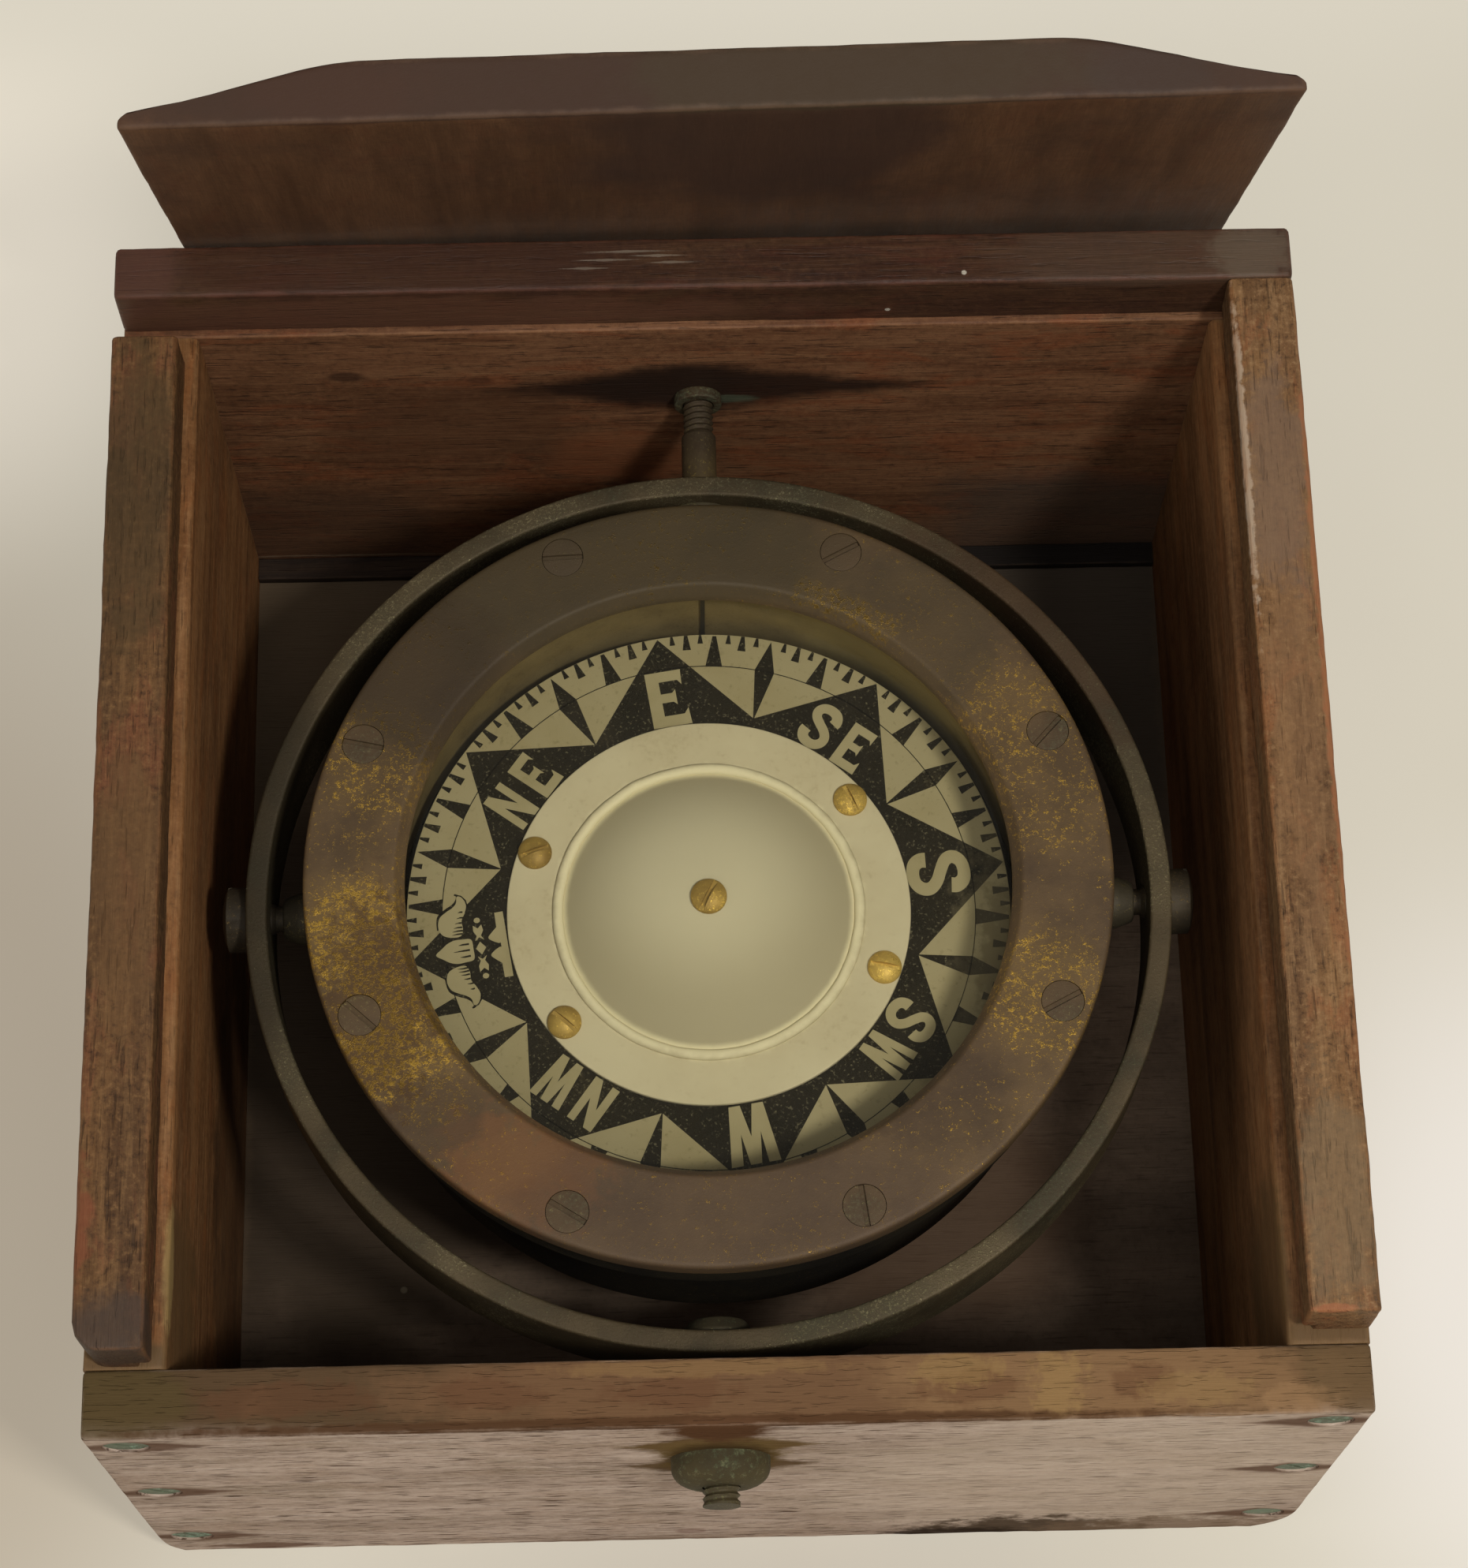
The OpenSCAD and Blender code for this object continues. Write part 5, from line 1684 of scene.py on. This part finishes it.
@dataclass
class FloatingCard:
    """The card with its print, and the float, screws, jewel and needles that go with it."""

    card_r: float = 46.1
    card_top: float = -0.5
    card_t: float = 0.6
    card_north: float = 189.0
    flange_r: float = 30.8
    flange_t: float = 0.8
    dome_r: float = 22.2
    dome_h: float = 6.1
    dome_wall: float = 0.6
    lip_bead: float = 0.85
    star_valley: float = 32.6
    circle_r: float = 40.7
    lily_aside: float = 0.4
    print_t: float = 0.03
    float_screw_pcd: float = 28.2
    float_screw_shank: float = 1.2
    screw_spread: float = 29.3
    body: str = "card"

    def turned(self) -> Matrix:
        """From the card's own axes, east along X and north along Y, to the CAD frame."""
        return HUB.matrix(0, 0, self.card_top, self.card_north - 90)

    def _polar(self, bearing: float, radius: float) -> Flat:
        """A point on the card, at a compass bearing in degrees."""
        angle = math.radians(bearing)
        return (radius * math.sin(angle), radius * math.cos(angle))

    def _set(self, outline: Sequence[Flat], bearing: float, foot: float, scale: float = 1.0,
             aside: float = 0.0, squeeze: float = 1.0) -> list[Flat]:
        """Sets a drawn shape on the card.

        Args:
            outline: the shape, its foot at the origin and its top along +Y.
            bearing: the bearing on which it stands, in degrees.
            foot: distance of its foot from the card's middle.
            scale: its size.
            aside: how far it stands clockwise of the bearing, in millimetres.
            squeeze: its width beyond the scale.

        Returns:
            The outline on the card.
        """
        angle = math.radians(bearing)
        out, side = Vector((math.sin(angle), math.cos(angle))), Vector((math.cos(angle),
                                                                        -math.sin(angle)))
        made = []
        for x, y in outline:
            spot = out * (foot + y * scale) + side * (aside + x * scale * squeeze)
            made.append((spot.x, spot.y))
        return made

    def _star(self) -> list[list[Flat]]:
        """The eight-pointed star round the float, as sixteen pieces from point to valley."""
        pieces, tip, inside = [], self.card_r - 0.25, self.dome_r + 4
        for k in range(16):
            ends = (tip, self.star_valley) if k % 2 == 0 else (self.star_valley, tip)
            outer = [self._polar(22.5 * (k + i), ends[i]) for i in (0, 1)]
            inner = [self._polar(22.5 * (k + i / 4), inside) for i in range(4, -1, -1)]
            pieces.append(outer + inner)
        return pieces

    def _wedge(self, bearing: float, foot: Flat, tip: Flat) -> list[Flat]:
        """A mark across a bearing.

        Args:
            bearing: the bearing of its middle, in degrees.
            foot: radius of its inner end, and half its angle in degrees.
            tip: the same for its outer end.

        Returns:
            The outline.
        """
        return [self._polar(bearing + side * half, radius)
                for side, (radius, half) in ((-1, foot), (1, foot), (1, tip), (-1, tip))]

    def _marks(self) -> list[list[Flat]]:
        """Diamonds, small points, ticks and the fine circle near the rim."""
        marks, edge, circle = [], self.card_r - 0.3, self.circle_r
        for k in range(8):
            bearing, half = 22.5 + 45 * k, math.degrees(1.55 / circle)
            marks.append([self._polar(bearing, self.star_valley - 0.4),
                          self._polar(bearing + half, circle), self._polar(bearing, edge),
                          self._polar(bearing - half, circle)])
        for k in range(16):
            half = math.degrees(1.3 / circle)
            marks.append(self._wedge(11.25 + 22.5 * k, (circle, half), (edge, half * 0.2)))
        for k in range(32):
            for step, depth, width in ((1, 1.25, 0.45), (2, 2.25, 0.68), (3, 1.25, 0.45)):
                half = math.degrees(width / self.card_r)
                marks.append(self._wedge(11.25 * (k + step / 4), (edge - depth, half),
                                         (edge + 0.2, half * 0.4)))
        for k in range(120):
            marks.append(self._wedge(3 * k + 1.5, (circle - 0.07, 1.5), (circle + 0.07, 1.5)))
        return marks

    def _lily(self) -> tuple[list[list[Flat]], list[list[Flat]], list[list[Flat]]]:
        """The lily at north: its dark outlines, its pale petals and the fine lines on them."""
        def both(outline: Sequence[Flat]) -> list[list[Flat]]:
            """An outline and its mirror image."""
            return [list(outline), [(-x, y) for x, y in reversed(outline)]]

        leaf = smoothed([(0, 11.2), (0.85, 10.2), (1.55, 9.2), (1.9, 8.1), (1.85, 7.0),
                         (1.6, 5.6), (0, 5.45), (-1.6, 5.6), (-1.85, 7.0), (-1.9, 8.1),
                         (-1.55, 9.2), (-0.85, 10.2)], closed=True)
        petal = smoothed([(2.4, 7.1), (2.45, 8.6), (3.1, 9.8), (4.4, 10.2), (5.8, 9.8),
                          (6.6, 8.7), (7.1, 7.7), (7.8, 6.95), (8.8, 6.7), (8.5, 5.95),
                          (7.2, 5.5), (5.9, 5.95), (4.8, 6.55), (3.4, 6.55)], closed=True)
        rim = ribbon(smoothed([(3.9, 10.35), (5.9, 10.0), (6.85, 8.7), (7.35, 7.6), (8.05, 6.85),
                               (8.9, 6.6), (9.2, 7.05)], 4),
                     [0.15 + 0.4 * math.sin(math.pi * (k + 2) / 28) for k in range(25)])
        under = ribbon([(6.9, 5.35), (8.0, 5.5), (8.8, 6.1), (9.0, 6.6)], [0.2, 0.25, 0.25, 0.2])
        bow = [(-1.25, -0.7), (-0.5, -0.3), (0.3, -0.75), (1.25, -0.6), (0.7, 0), (1.25, 0.7),
               (0.3, 0.75), (-0.5, 0.35), (-1.25, 0.7), (-0.75, 0)]
        band = [[(x + 2.5, y + 4.3) for x, y in bow], [(-x - 2.5, y + 4.3) for x, y in bow],
                [(-1.05, 4.3), (0, 3.5), (1.05, 4.3), (0, 5.05)]]
        band += [arc((x, 4.25), (0.45, 0.5), 0, 315, 7) for x in (-4.5, 4.5)]
        hump = smoothed([(0.25, 1.35), (0.75, 2.3), (1.4, 2.95), (2.1, 2.4), (2.9, 1.5)], 4)
        foot = [(-5.25, 0.15), (5.25, 0.15), (5.25, 1.45), *reversed(hump),
                *[(-x, y) for x, y in hump], (-5.25, 1.45)]
        lines = [ribbon([(x, 6.0), (x * 1.05, 7.0), (x, top)], [0.3, 0.26, 0.05])
                 for x, top in ((-0.95, 7.6), (0.0, 8.5), (0.95, 7.6))]
        for x, top in ((2.75, 8.3), (3.25, 8.2), (3.8, 7.9), (4.5, 7.6), (5.3, 7.2), (6.2, 6.9)):
            low = 6.6 if x < 5 else 6.2
            lines += both(ribbon([(x, low), (x + 0.05, (low + top) / 2), (x, top)],
                                 [0.28, 0.22, 0.05]))
        lines.append([(-0.35, 1.2), (0.35, 1.2), (0.2, 2.0), (-0.2, 2.0)])
        groups = (both(rim) + both(under), [leaf, *both(petal), *band, foot], lines)
        back, pale, fine = ([self._set(o, 0, self.flange_r, aside=self.lily_aside) for o in group]
                            for group in groups)
        return back, pale, fine

    def _letters(self) -> list[list[Flat]]:
        """The compass points' letters; those of the half points are smaller and in pairs."""
        made, foot = [], self.flange_r + 0.25
        for k, word in enumerate(("", "NE", "E", "SE", "S", "SW", "W", "NW")):
            asides, scale, squeeze = (((0.0,), 1.0, 1.0) if len(word) == 1
                                      else ((-3.2, 3.2), 0.82, 0.88))
            for mark, aside in zip(word, asides):
                wide = squeeze * (1.14 if mark == "S" else 1.0)
                made.append(self._set(Letter[mark].outline(), 45 * k, foot, scale, aside, wide))
        return made

    def card(self) -> None:
        """Builds the card, its black print and its pale letters."""
        profile = rounded([(self.dome_r + 0.4, -self.card_t), (self.card_r, -self.card_t, 0.15),
                           (self.card_r, 0, 0.15), (self.dome_r + 0.4, 0)], 0.05)
        paper = Form.spun(divided(profile, 6.0), 180).moved(HUB.matrix(0, 0, self.card_top))
        smudge = (Stain(HUB.at(45, -12, 0), (5.5, 20, 4), "62563a", 0.6, 0.9, 0.3),
                  Stain(HUB.at(36, -30, 0), (7, 7, 4), "6a5d3f", 0.4, 0.9, 0.3))
        cream = Painted("card_paper", "938867", "8c805d", dirt="6f6442", dirty=0.4, size=0.05,
                        roughness=0.8, gloss=0.1, speck="5f5434", specks=0.25, stains=smudge)
        show("card_disc", paper.mesh(), self.body, cream,
             ["compass_card"])
        back, petals, lines = self._lily()
        dark, pale, fine = Form(), Form(), Form()
        first, second, third = self.print_t, 2 * self.print_t, 0.08
        for outline in self._star() + self._marks() + back:
            dark += Form.plate(outline, 0.0, first)
        for outline in self._letters() + petals:
            pale += Form.plate(outline, first, second)
        for outline in lines:
            fine += Form.plate(outline, second, third)
        ink = Painted("card_ink", "171309", "201b10", dirt="3e3623", dirty=0.5, size=0.11,
                      roughness=0.8, gloss=0.1, speck="6a634c", specks=0.7,
                      stains=(Stain(HUB.at(43, -10, 0), (8, 24, 4), "4f4733", 0.6, 0.9, 0.3),))
        letters = Painted("card_letters_cream", "958a68", "8c815e", dirt="6f6442", dirty=0.35,
                          roughness=0.8, gloss=0.1)
        for name, form, finish in (("card_print", dark, ink), ("card_letters", pale, letters),
                                   ("card_lily_lines", fine, ink)):
            show(name, form.moved(self.turned()).mesh(), self.body, finish)

    def float_body(self) -> None:
        """Builds the float: flange, painted bead and dome in one sheet, and its screws."""
        foot, wall = self.flange_t, self.dome_wall
        sphere = (self.dome_r**2 + self.dome_h**2) / (2 * self.dome_h)
        top = foot + self.dome_h

        def height(r: float) -> float:
            """Height of the dome's outer face at a radius."""
            return top - sphere + math.sqrt(sphere**2 - r**2)

        outer = [(r, height(r)) for r in (self.dome_r * k / 24 for k in range(25))]
        lip = self.dome_r + self.lip_bead
        bead = arc((lip, foot), (-self.lip_bead, self.lip_bead * 0.9), 15, 165, 10)
        rim = rounded([(lip + self.lip_bead + 0.1, foot, 0.3), (self.flange_r, foot, 0.25),
                       (self.flange_r, 0.02, 0.1), (self.dome_r - wall, 0.02, 0.0)], 0.1)[1:]
        under = [(r, height(r) - wall)
                 for r in ((self.dome_r - wall) * k / 12 for k in range(12, -1, -1))]
        form = Form.spun(outer + bead + divided(rim, 3.0) + under, 192)

        def uneven(p: Vector) -> Vector:
            """Swells and sinks the painted bead here and there."""
            r = math.hypot(p.x, p.y)
            near = max(0.0, 1 - abs(r - lip) / 1.6)
            wave = noise.noise(Vector((p.x, p.y, 0)) / 3.2) * 0.35
            return Vector((p.x / max(r, 1) * wave * 0.6, p.y / max(r, 1) * wave * 0.6,
                           wave * 0.5)) * near

        form = form.warped(uneven).moved(HUB.matrix(0, 0, self.card_top))
        # Painted light and shade: the lighter ring over the bead is a painted highlight, and the
        # dome is lighter in its middle and darker towards its foot.
        enamel = Painted("float_enamel", "b8ad8d", "b1a585", dirt="988c69", dirty=0.3, size=0.05,
                         roughness=0.6, gloss=0.1, relief=0.02, speck="6b6040", specks=0.06,
                         stains=(Stain(HUB.at(), (lip + 1.4, lip + 1.4, 20), "d0c6a2", 0.85, 0.05,
                                       0.4, solid=0.93),
                                 Stain(HUB.at(), (self.dome_r + 0.1, self.dome_r + 0.1, 20),
                                       "9a9073", 1.0, 0.01, 0.4, solid=0.95),
                                 Stain(HUB.at(-1, 4, 4), (23, 21, 20), "b4ab8e", 0.95, 0.03,
                                       solid=0.25)))
        show("float_painted", form.mesh(), self.body, enamel,
             ["float_shell"])
        gold = AgedBrass("float_screws_brass", "e2be5c", "b9994c", "7a602c",
                         bare=0.7, fleck=1.6, polish=0.28, dull=0.5, film=0.3, shine=0.65,
                         relief=0.06)
        screws, shank = Form(), Form.rod(self.float_screw_shank, -4.4, 0.1)
        for middle, side, slot in ((0, -1, 40), (0, 1, 100), (180, -1, 15), (180, 1, 70)):
            head = Form.slotted_head(2.6, 0.35, 1.25, (0.7, 0.9), slot)
            x, y = self._polar(middle + side * self.screw_spread, self.float_screw_pcd)
            screws += (head + shank).moved(Matrix.Translation((x, y, foot)))
        show("float_heads", screws.moved(self.turned()).mesh(), self.body,
             gold, ["float_screws"])
        head = Form.slotted_head(2.75, 0.45, 1.2, (0.75, 0.95), 62)
        shank = Form.rod(self.float_screw_shank, -1.3, 0.1)
        cap = (head + shank).moved(HUB.matrix(0, 0, self.card_top + top))
        show("cap_head", cap.mesh(), self.body, gold, ["cap_screw"])

    def build(self, frame: dict) -> None:
        """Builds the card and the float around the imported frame."""
        self.card()
        self.float_body()
        dress(frame, "float_base", Painted("float_base_enamel", "a89c78", "a0956f"))
        for node in ("jewel_cup", "needle_carriers"):
            dress(frame, node, AgedBrass(f"{node}_brass", "b8924a", "957540",
                                         "7a5f33", bare=0.6, film=0.8))
        dress(frame, "jewel", Painted("jewel_stone", "8a1f45", "6f1636", roughness=0.08,
                                      coat=1.0))
        dress(frame, "needle_magnets", Painted("needle_steel", "5d6166", "4c5054", metallic=1.0,
                                               roughness=0.4))


@dataclass(frozen=True)
class Backdrop:
    """A pale floor with soft painted patches of light and shade, which the camera sees partly by a
    glow of its own.
    """

    name: str = "floor_pale"
    colour: str = "d6cfbe"
    second: str = "c9c0ae"
    glow: float = 0.6
    painted_light_and_shade: tuple[Stain, ...] = (
        Stain((-134, -30, 0), (76, 170, 60), "baae9b", 0.95, 0.0, solid=0.3),
        Stain((-135, 145, 0), (60, 75, 60), "efe6d5", 0.9, 0.0, solid=0.2),
        Stain((0, 240, 0), (300, 90, 60), "e1daca", 0.95, 0.0, solid=0.3),
        Stain((0, -118, 0), (130, 50, 60), "bfb6a8", 0.95, 0.0, solid=0.2),
        Stain((132, -50, 0), (56, 90, 60), "ebe5dc", 0.9, 0.0, solid=0.2))

    def material(self) -> bpy.types.Material:
        """Builds the floor's material; its glow leaves the object's shadow on it.

        Returns:
            The finished material.
        """
        bench = Bench(self.name)
        at = bench.point()
        cloud = bench.noise(at, 0.01, 3.0)
        colour = bench.mix(cloud.rise(0.35, 0.7, 0.15), self.colour, self.second)
        colour = stained(bench, at, colour, self.painted_light_and_shade)
        dim = bench.mix(self.glow, colour, "000000")
        lit = bench.principled(Base_Color=colour, Roughness=0.6, Specular_IOR_Level=0.2)
        seen = bench.principled(Base_Color=dim, Roughness=0.6, Specular_IOR_Level=0.1,
                                Emission_Color=colour, Emission_Strength=self.glow)
        ray, mirrored, through = (
            bench.node("ShaderNodeLightPath", output=kind)
            for kind in ("Is Camera Ray", "Is Glossy Ray", "Is Transmission Ray"))
        return bench.finish(bench.blend(ray.most(mirrored).most(through), lit, seen))


@dataclass(frozen=True)
class Lamp:
    """A square lamp that points at the box, its distance and its side in metres."""

    name: str
    direction: Place
    distance: float
    size: float
    watts: float
    colour: str = "fffdf8"

    def hang(self) -> None:
        """Hangs the lamp."""
        data = bpy.data.lights.new(self.name, "AREA")
        data.size, data.energy, data.color = self.size, self.watts, tint(self.colour)[:3]
        lamp = linked(self.name, data)
        away = Vector(self.direction).normalized()
        lamp.location = away * self.distance + Vector((0, 0, 0.05))
        lamp.rotation_mode = "QUATERNION"
        lamp.rotation_quaternion = away.to_track_quat("Z", "Y")


@dataclass
class Studio:
    """Camera, lamps, room light and the pale floor.

    The camera's place, in millimetres, and its angles, in degrees, were fitted to the box's
    corners. The floor reaches so far, in metres, that low views see no edge of it.
    """

    eye: Place = (-3.98, -195.99, 609.40)
    azimuth: float = 1.935
    elevation: float = 68.840
    roll: float = 0.668
    lens: float = 86.45
    lamps: tuple[Lamp, ...] = (Lamp("key", (0.36, -0.386, 1.0), 1.1, 0.12, 7.5),
                               Lamp("side_fill", (-1.0, -0.35, 0.6), 1.4, 0.8, 3.4),
                               Lamp("front_fill", (-0.1, -0.75, 1.0), 1.6, 0.5, 3.0),
                               Lamp("top_fill", (0.03, -0.38, 0.93), 1.6, 0.5, 3.0))
    room: str = "f3f4f8"
    room_strength: float = 0.36
    floor_reach: float = 12.0

    def camera(self) -> None:
        """Sets the camera at the photograph's viewing angle."""
        az, el, roll = (math.radians(a) for a in (self.azimuth, self.elevation, self.roll))
        ahead = Vector((math.sin(az) * math.cos(el), math.cos(az) * math.cos(el), -math.sin(el)))
        level = Vector((math.cos(az), -math.sin(az), 0))
        upright = level.cross(ahead)
        right = level * math.cos(roll) + upright * math.sin(roll)
        up = upright * math.cos(roll) - level * math.sin(roll)
        data = bpy.data.cameras.new("camera")
        data.lens, data.sensor_width = self.lens, 36.0
        data.clip_start, data.clip_end = 0.05, 20.0
        camera = linked("camera", data)
        matrix = Matrix((right, up, -ahead)).transposed().to_4x4()
        matrix.translation = Vector(self.eye) * MM
        camera.matrix_world = matrix
        bpy.context.scene.camera = camera

    def build(self) -> None:
        """Sets camera, lamps, world and floor."""
        self.camera()
        for lamp in self.lamps:
            lamp.hang()
        world = bpy.data.worlds.new("room")
        world.use_nodes = True
        sky = world.node_tree.nodes["Background"].inputs
        sky["Color"].default_value = tint(self.room)
        sky["Strength"].default_value = self.room_strength
        bpy.context.scene.world = world
        mesh = bpy.data.meshes.new("floor")
        reach = self.floor_reach
        mesh.from_pydata([(-reach, -reach, 0), (reach, -reach, 0), (reach, reach, 0),
                          (-reach, reach, 0)], [], [(0, 1, 2, 3)])
        mesh.materials.append(Backdrop().material())
        linked("floor", mesh)
        bpy.context.scene.view_settings.view_transform = "Standard"
        LOG.info("studio ready")


def main() -> None:
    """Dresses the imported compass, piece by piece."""
    logging.basicConfig(level=logging.INFO, format="%(name)s: %(message)s")
    noise.seed_set(DENT_SEED)
    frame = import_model()
    Studio().build()
    box = WoodenBox()
    box.build(frame)
    SlidingLid().build(box)
    PivotScrews().build(box)
    GimbalRing().build()
    CompassBowl().build(frame)
    FloatingCard().build(frame)


if __name__ == "__main__":
    main()
